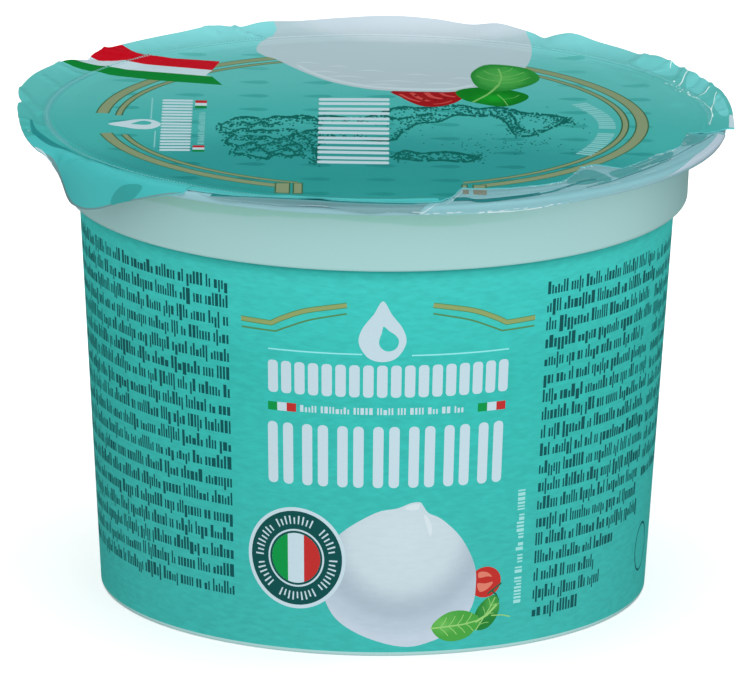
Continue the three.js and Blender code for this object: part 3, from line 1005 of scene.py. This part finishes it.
def dot(drawing, ink, centre, radii):
    """A small dot with five corners."""
    drawing.field(ink, arc(centre, radii, 0, 288, 72))


def stipple(drawing, dice):
    """Engraving-like contours on the lid: a knotted patch at the left and long soft folds at the right."""
    dotted_line(drawing, dice, PATCH, 0.7, dots=2, bold=1.3)
    for fold in PATCH_FOLDS:
        wavered = [(x + dice.uniform(-0.3, 0.3), y + dice.uniform(-0.6, 0.6)) for x, y in fold]
        dotted_line(drawing, dice, wavered, 0.9, dots=2, bold=1.2)
    for _ in range(PATCH_DOTS):
        dot(drawing, "stipple", (dice.uniform(-13.5, -8.6), dice.uniform(-19, -10)), (0.14, 0.3))
    for shade, *points in LONG_FOLDS:
        dotted_line(drawing, dice, points, 1.5, shade, bold=1.4)
    for x, y, wide, high, count in DOT_CLOUDS:
        for _ in range(count):
            spot = (x + dice.gauss(0, wide / 2), y + dice.gauss(0, high / 2))
            dot(drawing, "stipple", spot, (0.13, 0.28))


SEAL_DOT_PITCH = 0.6


def draw_seal(drawing):
    """The pressed seal, as two rows of small pale dots, painted highlights on its knurls."""
    for radius, start, wide in ((45.15, 0.0, 0.13), (45.5, 0.3, 0.09)):
        for turn in np.arange(-4 + start, 252, SEAL_DOT_PITCH):
            mark = block(-wide, wide, -0.13, 0.13)
            drawing.field("seal_dot", shifted(mark, polar(radius, turn), 1.0, turn))


# The fold at the front left: the film hangs outside this line, and a painted shadow lies along it.
# These, the panels, the curl's painted highlight and the glints are (radius, angle) points.
HANG_FROM, HANG_TO = -166, -122.7
FOLD = [(47.6, -166), (47.0, -163), (46.4, -160.5), (45.95, -157.3), (45.9, -152.9), (45.9, -147.6),
        (45.85, -139), (45.8, -131), (45.75, -122.7)]
FOLD_SHADOW = [(47.4, -175.3), (47.1, -169.3), (46.4, -163), (45.9, -157.3), (45.9, -149.3), (46.3, -148.7),
               (46.3, -152.4), (46.7, -155.8), (47.4, -158), (47.8, -162), (48.0, -167.5), (47.9, -171.4)]
FRONT_BEND = [(45.75, -122.6), (45.6, -114), (45.1, -109), (44.3, -104), (43.9, -99), (44.0, -93),
              (43.9, -87), (43.4, -82), (43.8, -79.4)]
CURL_HIGHLIGHT = [(49.2, -160.5), (49.0, -158.5), (49.1, -156.5), (49.4, -154.5), (51.5, -154.5), (51.5, -160.5)]
# Panels of the skirt at the right that catch the light, and the pale corner at the tear: painted highlights.
BRIGHT_PANELS = (
    ((49.6, 41), (49.9, 36), (49.8, 32.3), (47.8, 30.6), (46.1, 32), (45.7, 37), (47.0, 40.5)),
    ((49.9, 29.2), (49.5, 24), (49.0, 20.8), (47.2, 18.6), (46.1, 17.6), (45.9, 21.6), (46.8, 25.4),
     (48.6, 28.2)),
    ((48.9, 15.2), (48.8, 9), (48.6, 3), (46.9, 3), (46.4, 7), (46.9, 11.6)))
TORN_CORNER = [(48.8, 3.2), (49.4, 2.6), (49.4, -4.4), (48.5, -4.3), (48.6, -1)]


def draw_bent_edges(drawing, ground):
    """The hanging front edge painted as lit, the fold's painted shadow, and the skirt's painted highlights.
    """
    hanging = [(x, y) for x, y in ground if HANG_FROM < math.degrees(math.atan2(y, x)) < HANG_TO]
    # Painted light: the hanging film and its turned-down front edge are lighter, as they face the light.
    drawing.field("hung", along_polar(FOLD[::-1]) + hanging)
    drawing.field("hung", along_polar(FRONT_EDGE + FRONT_BEND[::-1]))
    # Painted highlights: the skirt's panels and the torn corner.
    for panel in BRIGHT_PANELS:
        drawing.field("bright_panel", rounded(along_polar(panel), 3))
    drawing.field("pale", along_polar(TORN_CORNER))
    # A painted shadow in the fold and along it.
    drawing.field("fold", rounded(along_polar(FOLD_SHADOW), 3))
    drawing.line("fold", along_polar(FOLD[3:7]), (0.16, 0.5), 3)
    # A painted highlight along the seal's bead at the left.
    drawing.field("seal_band", band((0, 0), 44.75, 45.4, 152, 202))
    # A painted highlight on the curled film at the left.
    drawing.field("pale", along_polar(CURL_HIGHLIGHT))


# A word-like row of marks on the right of the lid, along this line, with a gap between its two words.
ROW_OF_MARKS = [(27.8, -19.2), (29.3, -15.4), (30.6, -10.8), (31.2, -6), (31.2, -1.6), (30.4, 2.6),
                (29.2, 5.6), (27.4, 9.2)]
MARKS = 14
MARK_GAP = 6
HALF_MARK = 1.15


def draw_marks(drawing):
    """Short paired bars across a curved line, in place of a curved caption."""
    line = np.array(rounded(ROW_OF_MARKS, 8, closed=False))
    along = np.concatenate([[0], np.cumsum(np.hypot(*np.diff(line, axis=0).T))])

    def spot_at(distance):
        return np.array([np.interp(distance, along, line[:, axis]) for axis in (0, 1)])

    pitch = along[-1] / MARKS
    for i in range(MARKS):
        if i == MARK_GAP:
            continue
        for start, wide in ((0.12, 0.75), (1.15, 0.62)):
            low, high = spot_at(i * pitch + start), spot_at(i * pitch + start + wide)
            out = np.array([high[1] - low[1], low[0] - high[0]])
            out *= HALF_MARK / np.linalg.norm(out)
            drawing.field("pale_small", [low - out, low + out, high + out, high - out])


GLINTS = ((0.16, (49.6, 30.3), (48.2, 28.6), (46.9, 26.8), (45.2, 23.6)),
          (0.14, (48.6, 19.6), (47.1, 17.4), (45.7, 15.4)),
          (0.12, (48.8, 16.4), (47.2, 12.6), (46.1, 8.3), (45.8, 2.1)),
          (0.08, (44.9, 16.3), (45.4, 13.3), (45.9, 9.7), (45.8, 3.5), (45.3, -4.0)),
          (0.1, (50.0, 35.6), (48.8, 34.0)))
SPECKS = 18


def draw_glints(drawing, dice):
    """Thin bright lines where sharp creases of the skirt catch the light, and specks by the seal."""
    for width, *spots in GLINTS:
        drawing.line("glint", along_polar(spots), width, 4)
    for _ in range(SPECKS):
        turn = dice.uniform(16.5, 26.5)
        x, y = polar(44.5 + dice.gauss(0, 0.35), turn)
        dot(drawing, "glint", (x, y), (dice.uniform(0.07, 0.16), dice.uniform(0.15, 0.4)))


# The lid's pattern of small drops, the larger one on the hanging film, painted lighter as lit, and the
# upright drop of the mark.
SMALL_DROP = [(-2.1, 0.1), (-0.6, 0.75), (0.9, 0.95), (1.9, 0.45), (2.0, -0.35), (0.9, -0.9), (-0.6, -0.6)]
HUNG_DROP = [(-2.4, -0.1), (-1.0, 0.4), (0.6, 0.55), (2.0, 0.5), (2.3, 0.2), (1.4, -0.3), (0, -0.55),
             (-1.4, -0.5)]
MARK_DROP = [(0, 3.6), (1.6, 1.4), (2.6, -0.6), (2.3, -2.5), (0, -3.6), (-2.3, -2.5), (-2.6, -0.6),
             (-1.6, 1.4)]
DROP_PITCH = (8.75, 7.45)
DROP_REACH = 43


def draw_lid(drawing, dice):
    """The lid film's print, with painted glints and a painted-lit drop on the hanging film."""
    for i in range(-5, 6):
        for j in range(-6, 7):
            spot = (0.4 + DROP_PITCH[0] * i, -3.6 + DROP_PITCH[1] * j)
            if math.hypot(*spot) < DROP_REACH:
                drawing.field("drop", shifted(rounded(SMALL_DROP, 3), spot))
    # The drop on the hanging film is painted lighter, as lit.
    drawing.field("hung_drop", shifted(rounded(HUNG_DROP, 3), polar(50.3, -134.3), 1.4, -20))
    draw_rings(drawing)
    draw_ribbon(drawing)
    draw_seal(drawing)
    stipple(drawing, dice)
    draw_lid_cheese(drawing)
    glyph_places(drawing, "pale", -25.0, 10.4, -8.1, 1.6, 7, 1.5, 0.85, 0.3, upright=False)
    glyph_places(drawing, "pale", -19.2, 8.6, -29.5, -25.3, 9, 0.7, 0.5, 0.3, upright=False)
    tick_row(drawing, "pale_small", -15.4, 3.2, -23.5, -0.9, dice, upright=False)
    for low, high in ((-19.6, -16.2), (4.0, 8.4)):
        tricolour(drawing, low, high, -25.0, -23.4, upright=False)
    for ink, centre, scale, turn in (("pale", (-33.1, -5.0), 1.0, 90), ("ground", (-32.2, -4.4), 0.4, 110)):
        drawing.field(ink, shifted(rounded(MARK_DROP, 4), centre, scale, turn))
    for x, low, high in ((-30.9, -2.2, 9.4), (-30.2, -17.4, -8.5)):
        drawing.field("pale_small", block(x - 0.1, x + 0.1, low, high))
    draw_marks(drawing)
    draw_glints(drawing, dice)


# Rings of inner points of the film: close together at the seal, and further apart inside it.
SEAL_RINGS = (43.2, 43.8, 44.2, 44.5, 44.75, 45.0, 45.2, 45.4, 45.6, 45.8, 46.1)


def make_lid_film(materials):
    """The printed lid film."""
    dice = random.Random(11)
    outline = film_outline(dice)
    drawing = Drawing(outline, "hem")
    ground = ground_outline(outline)
    drawing.field("ground", ground)
    draw_bent_edges(drawing, ground)
    draw_lid(drawing, dice)
    fine = []
    for radius in SEAL_RINGS:
        fine += polar_line(radius, np.arange(0, 360, 0.9))
    angles = np.arange(0, 360, 1.0)
    for share in np.linspace(0.12, 0.94, 9):
        fine += polar_line(FREE_RADIUS + share * free_width(angles), angles)
    for radius in np.arange(2, 43, 2.0):
        fine += polar_line(radius, np.arange(0, 360, 360 / max(12, int(radius * 3))))
    keep = inside_outline(np.array(fine), np.array(outline), 0.12)
    drawing.refine(keep)
    return make_sheet("printed_lid_film", drawing, on_film, FILM_THICKNESS, keep[::2], materials,
                      "film_back", "film_rim")


def inside_outline(points, outline, margin):
    """The points that lie inside an outline and a margin clear of it."""
    ahead = np.roll(outline, -1, axis=0)
    kept = []
    for x, y in points:
        crosses = (outline[:, 1] > y) != (ahead[:, 1] > y)
        rise = np.where(crosses, ahead[:, 1] - outline[:, 1], 1)
        at = outline[:, 0] + (y - outline[:, 1]) * (ahead[:, 0] - outline[:, 0]) / rise
        if np.sum(crosses & (x < at)) % 2 and np.min(np.hypot(outline[:, 0] - x, outline[:, 1] - y)) > margin:
            kept.append((x, y))
    return kept


def ground_outline(outline):
    """The printed ground's outline, which leaves a thin clear hem where the film hangs."""
    inner = []
    for x, y in outline:
        radius, angle = math.hypot(x, y), math.degrees(math.atan2(y, x))
        inner.append(tuple(polar(radius - 0.02 - np.interp(angle, HEM_ANGLES, HEM_WIDTHS), angle)))
    return inner


# ---------------------------------------------------------------- clear layer

# The clear layer runs from one angle to the other. Its outer edge by angle: how far it stands above or
# hangs below the flange's top, and its plan radius.
CLEAR_FROM, CLEAR_TO = -122.5, -6.5
CLEAR_LIFT = round_curve([
    (-126, -0.9), (-119.5, -0.8), (-111.5, -0.1), (-106, -0.15), (-98, 0.1), (-94.7, -0.35), (-91.4, -0.7),
    (-87, -0.4), (-82.8, -0.85), (-77, -1.0), (-70, -1.15), (-62, -1.05), (-50, -0.7), (-40, -0.5),
    (-20, -0.45), (-5, -0.4), (90, 0.2)])
CLEAR_REACH = round_curve([
    (-126, 48.0), (-100, 48.0), (-83, 47.9), (-66, 47.85), (-50, 47.8), (-20, 47.75), (-5, 47.7), (90, 47.7)])
# Relief of its torn part: fine streaks that follow the tear, and a coarser wrinkle inside the seal.
STREAK_RISE, STREAK_TURN = 0.018, 3.6
WRINKLE_RISE, WRINKLES = 0.02, 31
TORN_FROM = -80


def on_clear(flat):
    """The clear layer's top face: flat on the flange, and turned down over its lip."""
    x, y = flat[:, 0], flat[:, 1]
    away = np.hypot(x, y)
    angle = np.degrees(np.arctan2(y, x))
    reach, lift = CLEAR_REACH(angle), CLEAR_LIFT(angle)
    base = CLEAR_TOP - TUB_HEIGHT
    t = np.clip((away - CLEAR_FREE_RADIUS) / clear_width(angle), 0, 1.05)
    bulge = base + 0.14 * smooth((angle + 105) / 12)
    spots = ((CLEAR_FREE_RADIUS, base), (reach + 0.15, bulge), (reach, lift))
    radius, height = bent(away, CLEAR_FREE_RADIUS, CLEAR_TOP, ((1 - t) ** 2, 2 * t * (1 - t), t ** 2), spots)
    torn = smooth((angle - TORN_FROM) / 4)
    streak = np.sin(away * STREAK_TURN + np.sin(np.radians(angle) * 9) * 1.5)
    height += STREAK_RISE * streak * smooth((away - 41) / 1.5) * torn
    height += WRINKLE_RISE * np.sin(np.radians(angle) * WRINKLES + away) * smooth((46.5 - away) / 2) * torn
    return np.column_stack([polar(radius, angle), height])


def clear_width(angle):
    """Width of the part past the flange, measured along the layer."""
    reach, lift = CLEAR_REACH(angle), CLEAR_LIFT(angle)
    base = CLEAR_TOP - TUB_HEIGHT
    return np.hypot(reach - CLEAR_FREE_RADIUS, lift - base) + 0.2


def clear_edge(angle):
    """Radius of the clear layer's outer edge in its drawing."""
    return CLEAR_FREE_RADIUS + clear_width(angle)


def print_edge(angle):
    """Radius of the printed film's edge along the front and the tear."""
    line = sorted((a, r) for r, a in FRONT_EDGE + TEAR)
    return np.interp(angle, [a for a, _ in line], [r for _, r in line])


def clear_outline(dice):
    """The layer's outline, from just under the print's edge out to a ragged edge that starts in a point."""
    angles = np.arange(CLEAR_FROM, CLEAR_TO, 0.6)
    start = smooth((angles - CLEAR_FROM) / 9)
    ragged = np.array([dice.uniform(-0.04, 0.03) for _ in angles])
    outer = mix(print_edge(angles) - 0.6, clear_edge(angles), start) + ragged
    return polar_line(outer, angles) + polar_line(print_edge(angles) - 1.0, angles)[::-1]


# Hazy patches of the torn layer, from the print's edge outwards, as (radius, angle) points.
HAZE = (((38.9, -46), (39.2, -42.6), (42.9, -43.8), (45.0, -45.6), (45.2, -48.8), (44.2, -51.4), (42.2, -53)),
        ((42.0, -42), (42.0, -36), (42.0, -29.9), (42.8, -22.5), (44.2, -25.6), (44.4, -32.5), (44.7, -39),
         (44.9, -43.4)),
        ((42.3, -8.4), (45.3, -8.4), (45.2, -14), (43.7, -17.8), (42.4, -17)))
# Its folds, as the ink, the line's (wide, high) and the (radius, angle) points: fold_shadow, fold_soft and
# wrinkle are painted shade, sparkle a painted highlight.
CLEAR_FOLDS = (
    ("fold_shadow", (0.3, 1.8), (44.2, -76.6), (44.3, -74.4), (45.4, -72.9), (45.7, -70.4), (45.3, -64.6),
     (45.1, -61)),
    ("fold_soft", (0.4, 0.9), (45.3, -62.5), (44.8, -58), (43.6, -53.5), (42.8, -49.5), (43.2, -47)),
    ("wrinkle", (0.2, 0.4), (45.6, -52), (45.3, -46), (44.7, -40), (44.6, -34), (44.6, -27)),
    ("wrinkle", (0.2, 0.2), (43.0, -36), (43.9, -30), (44.4, -24), (44.9, -16)),
    ("wrinkle", (0.2, 0.3), (44.6, -17.2), (45.3, -14.2), (45.9, -10.5), (46.3, -8.4)),
    ("streak", (0.12, 0.3), (48.3, -83), (47.4, -81.4), (45.6, -79.4)),
    ("streak", (0.12, 0.3), (46.2, -78.4), (45.2, -77.4), (42.4, -75.2), (40.0, -73.4)),
    ("sparkle", (0.1, 0.1), (48.4, -72), (48.5, -67), (48.4, -62.5)))
LONG_STREAKS = 16
EDGE_SPARKLES = 26
TEAR_SPARKLES = 44


def draw_clear_folds(drawing, dice):
    """The torn layer's hem, haze, streaks and folds, with painted shade, highlights and sparkles."""
    front = np.arange(CLEAR_FROM + 4.5, -79, 1.0)
    hanging = front[front < -83]
    edge = print_edge(front)
    shadow = 0.34 + 0.14 * np.sin(np.radians(hanging * 7))
    hem = np.clip(clear_edge(hanging) - print_edge(hanging), 0, 9) + 0.75
    for ink, reach in (("front_hem", hem), ("fold_shadow", shadow)):
        away = polar_line(print_edge(hanging) + reach, hanging)
        drawing.field(ink, polar_line(edge - 0.9, front) + away[::-1])
    # A painted highlight on the flange's lip, seen through the layer.
    lip = np.arange(-38, CLEAR_TO - 1, 1.0)
    inner = mix(48.2, 46.6, smooth((lip + 38) / 16))
    drawing.field("lip", polar_line(inner, lip) + polar_line(48.6, lip)[::-1])
    for patch in HAZE:
        drawing.field("haze", rounded(along_polar(patch), 4))
    for ink, width, *spots in CLEAR_FOLDS:
        drawing.line(ink, along_polar(spots), width, 5)
    for left, right in ((11.5, 12.3), (12.9, 14.7)):
        drawing.field("gold_ghost", block(left, right, -40.3, -38.0))
    for _ in range(LONG_STREAKS):
        turn, wide = dice.uniform(-74, -14), dice.uniform(3.0, 6.0)
        radius = dice.uniform(float(print_edge(turn)) + 0.8, 46.6)
        spots = [(radius + dice.uniform(-0.15, 0.15), turn + wide * share) for share in (0, 0.5, 1)]
        drawing.line("streak", along_polar(spots), dice.uniform(0.05, 0.12))
    # Painted sparkles of light along the layer's edge and by the tear.
    for _ in range(EDGE_SPARKLES):
        turn = dice.uniform(-85, -58)
        radius = float(clear_edge(turn)) - dice.uniform(0.05, 0.35)
        spots = [(radius, turn), (radius, turn + 0.4), (radius, turn + dice.uniform(0.6, 1.1))]
        drawing.line("sparkle", along_polar(spots), dice.uniform(0.03, 0.07))
    for _ in range(TEAR_SPARKLES):
        turn = dice.uniform(-62, -8)
        radius, lean = float(print_edge(turn)), dice.uniform(-1.2, 1.2)
        spots = [(radius - 0.3, turn), (radius + dice.uniform(0.2, 0.9), turn + lean)]
        drawing.line("sparkle", along_polar(spots), dice.uniform(0.05, 0.11))


def make_clear_layer(materials):
    """The clear layer left on the flange."""
    dice = random.Random(5)
    outline = clear_outline(dice)
    drawing = Drawing(outline, "film")
    draw_clear_folds(drawing, dice)
    fine = []
    for radius in np.concatenate([np.arange(38, 46.4, 0.45), CLEAR_FREE_RADIUS + np.arange(0.1, 1.9, 0.15)]):
        fine += polar_line(radius, np.arange(CLEAR_FROM, CLEAR_TO, 1.0))
    keep = inside_outline(np.array(fine), np.array(outline), 0.1)
    drawing.refine(keep)
    return make_sheet("clear_layer", drawing, on_clear, CLEAR_THICKNESS, keep[::3], materials,
                      "film_back", "film_rim")


# ---------------------------------------------------------------- inks of each piece

def label_inks():
    """The label's inks: even ones, and ones given as stops, centre, radii, mottle and speckle."""
    shades = {
        "text": (2, 84, 86), "pale": (198, 222, 232), "rule": (150, 236, 238), "pale_small": (160, 226, 224),
        "gold": (148, 168, 106), "gold_edge": (84, 140, 88), "dark": (2, 78, 76), "green": (2, 150, 70),
        "red": (192, 46, 44), "tomato": (192, 48, 42), "tomato_flesh": (222, 128, 108),
        "vein": (150, 208, 120), "stalk": (16, 92, 66), "cheese_light": (214, 230, 236),
        "back": (190, 215, 215), "label_rim": (120, 205, 200),
    }
    blends = {
        # ground: a thin painted shadow under the collar, and painted light that lightens the top
        "ground": (((0.0, (20, 142, 136)), (0.012, (58, 192, 184)), (0.03, (66, 206, 198)),
                    (0.1, (62, 202, 194)), (0.3, (55, 192, 183)), (1.0, (60, 184, 177))),
                   (0, 0, LABEL_TOP_Z), (9000, 9000, 54), 0.0, 0.07),
        "cheese": (((0.0, (204, 222, 230)), (0.45, (200, 219, 227)), (0.73, (172, 191, 204)),
                    (0.88, (184, 202, 216)), (1.0, (194, 210, 224))),
                   (3.9, -38, 17), (15, 60, 15), 0.05, 0.02),
        "leaf": (((0.0, (116, 196, 96)), (1.0, (72, 164, 66))), (9.5, -38, 4.4), (4.6, 60, 3.2), 0.6, 0),
        "leaf_back": (((0.0, (84, 176, 80)), (1.0, (34, 128, 52))), (16.0, -36, 6.6), (3.4, 60, 3.4), 0.6, 0),
    }
    rough = {"gold": 0.45, "back": 0.6}
    made = {name: plain_ink("label_" + name, shade, rough.get(name, 0.5), LABEL_GRAIN)
            for name, shade in shades.items()}
    for name, (stops, centre, radii, mottle, speckle) in blends.items():
        made[name] = blended_ink("label_" + name, stops, centre, radii, 0.5, LABEL_GRAIN, mottle, speckle)
    return made


def film_inks():
    """The lid film's inks, given like the label's. Deep ones mirror less of the bright room."""
    shades = {
        # Painted highlights and lit copies: film_rim, hung, hung_drop, seal_dot, seal_band, bright_panel,
        # glint.
        "hem": (110, 152, 156), "pale": (190, 216, 224), "pale_small": (130, 200, 200),
        "gold": (132, 152, 114), "gold_edge": (58, 104, 66), "green": (2, 130, 60), "red": (180, 30, 36),
        "flag_green": (2, 128, 48), "flag_red": (188, 2, 26), "lid_tomato": (150, 10, 18),
        "lid_flesh": (196, 70, 66), "lid_seed": (116, 4, 12), "lid_vein": (112, 186, 96),
        "stipple": (0, 98, 90), "film_back": (170, 208, 210), "film_rim": (104, 206, 208),
        "seal_dot": (112, 186, 188), "glint": (226, 250, 250), "hung": (70, 190, 190),
        # fold is a painted shadow.
        "fold": (32, 142, 144), "seal_band": (88, 176, 178), "bright_panel": (108, 204, 204),
        "hung_drop": (52, 164, 162), "lid_sheen": (190, 212, 218),
    }
    # Painted reflection: the ground and drops darken towards the front and lighten towards the back.
    painted_light_over_lid = ((0, -46, 66), (125, 100, 12), 0.05, 0)
    blends = {
        "ground": (((0.0, (44, 162, 158)), (0.15, (32, 153, 149)), (0.32, (38, 154, 152)),
                    (0.5, (62, 177, 172)), (0.75, (88, 187, 183)), (1.0, (131, 216, 219))), *painted_light_over_lid),
        "drop": (((0.0, (20, 144, 138)), (0.32, (18, 136, 134)), (0.5, (44, 160, 154)),
                  (1.0, (90, 188, 184))), *painted_light_over_lid),
        # The lid cheese is painted lighter past the seal at the back, as light on the skirt.
        "lid_cheese": (((0.12, (204, 220, 230)), (0.3, (196, 214, 223)), (0.42, (175, 201, 208)),
                        (1.0, (173, 197, 204))), (6, 56, 66), (60, 42, 200), 0.06, 0),
        "lid_leaf": (((0.0, (92, 180, 88)), (0.75, (58, 158, 66)), (1.0, (34, 136, 50))),
                     (17, 22.5, 66), (5, 8.5, 30), 0.35, 0.12),
        "lid_leaf_back": (((0.0, (10, 158, 34)), (1.0, (2, 118, 26))), (16, 11, 66), (5, 6, 30), 0.4, 0.1),
    }
    rough = {"flag_green": 0.25, "flag_red": 0.25, "film_back": 0.4, "film_rim": 0.35, "glint": 0.2}
    deep = {"red", "green", "flag_green", "flag_red", "lid_tomato", "lid_seed", "stipple", "lid_leaf",
            "lid_leaf_back"}
    grains = {name: DEEP_GRAIN if name in deep else FILM_GRAIN for name in (*shades, *blends)}
    made = {name: plain_ink("film_" + name, shade, rough.get(name, 0.3), grains[name])
            for name, shade in shades.items()}
    for name, (stops, centre, radii, mottle, speckle) in blends.items():
        made[name] = blended_ink("film_" + name, stops, centre, radii, 0.3, grains[name], mottle, speckle)
    return made


def clear_inks():
    """The clear layer's inks, each a shade and an opacity."""
    inks = {
        # Painted shade: fold_shadow, fold_soft, wrinkle; painted highlights: lip, sparkle.
        "film": ((158, 220, 228), 0.62), "film_back": ((168, 226, 236), 0.2),
        "film_rim": ((190, 216, 224), 0.8), "front_hem": ((118, 166, 172), 0.9),
        "fold_shadow": ((30, 134, 136), 0.92), "fold_soft": ((60, 150, 152), 0.85),
        "haze": ((92, 178, 180), 0.8), "lip": ((204, 226, 240), 0.85), "wrinkle": ((80, 158, 166), 0.65),
        "gold_ghost": ((150, 152, 128), 0.7), "streak": ((196, 226, 232), 0.8),
        "sparkle": ((232, 248, 250), 0.85),
    }
    return {name: clear_film("clear_" + name, *finish) for name, finish in inks.items()}


# ---------------------------------------------------------------- stage

# Strengths of the light in front, at the sides, behind, behind as mirrored in the cup, and overhead.
FRONT_LIGHT = 1.16
SIDE_FILL = 0.1
BACK_LIGHT = 1.6
BACK_REFLECTION = 0.02
HIGH_LIGHT = 1.15
LEAN_TO_RIGHT = 0.18
FLOOR_RADIUS = 8000
FLOOR_SEGMENTS = 96


def make_floor():
    """A plain pale floor, wide enough for a low view. It is only for the picture."""
    rim = polar(FLOOR_RADIUS, np.linspace(0, 360, FLOOR_SEGMENTS, endpoint=False))
    points = [(0, 0, 0)] + [(x, y, 0) for x, y in rim]
    faces = [(0, 1 + i, 1 + (i + 1) % FLOOR_SEGMENTS) for i in range(FLOOR_SEGMENTS)]
    material = bpy.data.materials.new("pale_floor")
    finish = Shading(material)
    finish.join(finish.shader, {"Base Color": (0.9, 0.9, 0.9, 1), "Roughness": 0.9, "Specular IOR Level": 0.1,
                                "Emission Color": (1, 1, 1, 1), "Emission Strength": 0.35})
    floor = make_piece("floor", points, faces, [material])
    floor.visible_diffuse = False
    floor.visible_glossy = False


def light_world():
    """Soft studio light: bright in front and overhead, a little brighter on the right, and dim at the sides.
    A light behind the cup lights it but isn't mirrored in it, as a dark wall there would have it."""
    world = bpy.data.worlds.new("studio")
    bpy.context.scene.world = world
    light = Shading(world, "Background")
    axes = light.add("SeparateXYZ", {"Vector": light.add("TexCoord", {}, "Generated")}).node.outputs
    glossy = light.add("LightPath", {}, "Is Glossy Ray")

    def graded(axis, *levels):
        return light.graded(axes[axis], *levels, kind="SMOOTHSTEP")

    lean = light.math("MULTIPLY_ADD", axes["X"], LEAN_TO_RIGHT, 1.0)
    round_lit = light.math("MULTIPLY", graded("Y", -0.8, 0.6, FRONT_LIGHT, SIDE_FILL), lean)
    lit = light.math("ADD", round_lit, graded("Y", 0.75, 0.95, 0, BACK_LIGHT))
    low = light.blended(glossy, lit, graded("Y", 0.2, 0.7, FRONT_LIGHT, BACK_REFLECTION))
    high = light.blended(glossy, graded("Z", 0.4, 0.7), graded("Z", 0.75, 0.95))
    light.join(light.shader, {"Strength": light.blended(high, low, HIGH_LIGHT), "Color": (1, 1, 1, 1)})


def add_camera():
    """The camera, aimed at the cup from the front and rolled about its own axis."""
    tilt, roll = math.radians(CAMERA_ELEVATION), math.radians(CAMERA_ROLL)
    forward = Vector((0, math.cos(tilt), -math.sin(tilt)))
    right = Vector((1, 0, 0))
    up = Vector((0, math.sin(tilt), math.cos(tilt)))
    across = right * math.cos(roll) + up * math.sin(roll)
    upward = up * math.cos(roll) - right * math.sin(roll)
    camera = bpy.data.objects.new("camera", bpy.data.cameras.new("camera"))
    camera.data.lens = LENS
    camera.data.sensor_width = SENSOR
    camera.data.clip_end = FARTHEST_SEEN * MM
    place = (Vector(CAMERA_AIM) - forward * CAMERA_DISTANCE) * MM
    camera.matrix_world = Matrix.Translation(place) @ Matrix((across, upward, -forward)).transposed().to_4x4()
    bpy.context.scene.collection.objects.link(camera)
    bpy.context.scene.camera = camera


def place_piece(piece, node):
    """Puts a piece on the one body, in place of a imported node."""
    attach(piece, "root")
    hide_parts(node)


add_camera()
place_piece(make_tub(), "tub")
place_piece(make_label(label_inks()), "label")
place_piece(make_lid_film(film_inks()), "lid_film")
place_piece(make_clear_layer(clear_inks()), "seal_strip")
make_floor()
light_world()
bpy.context.scene.view_settings.view_transform = "Standard"
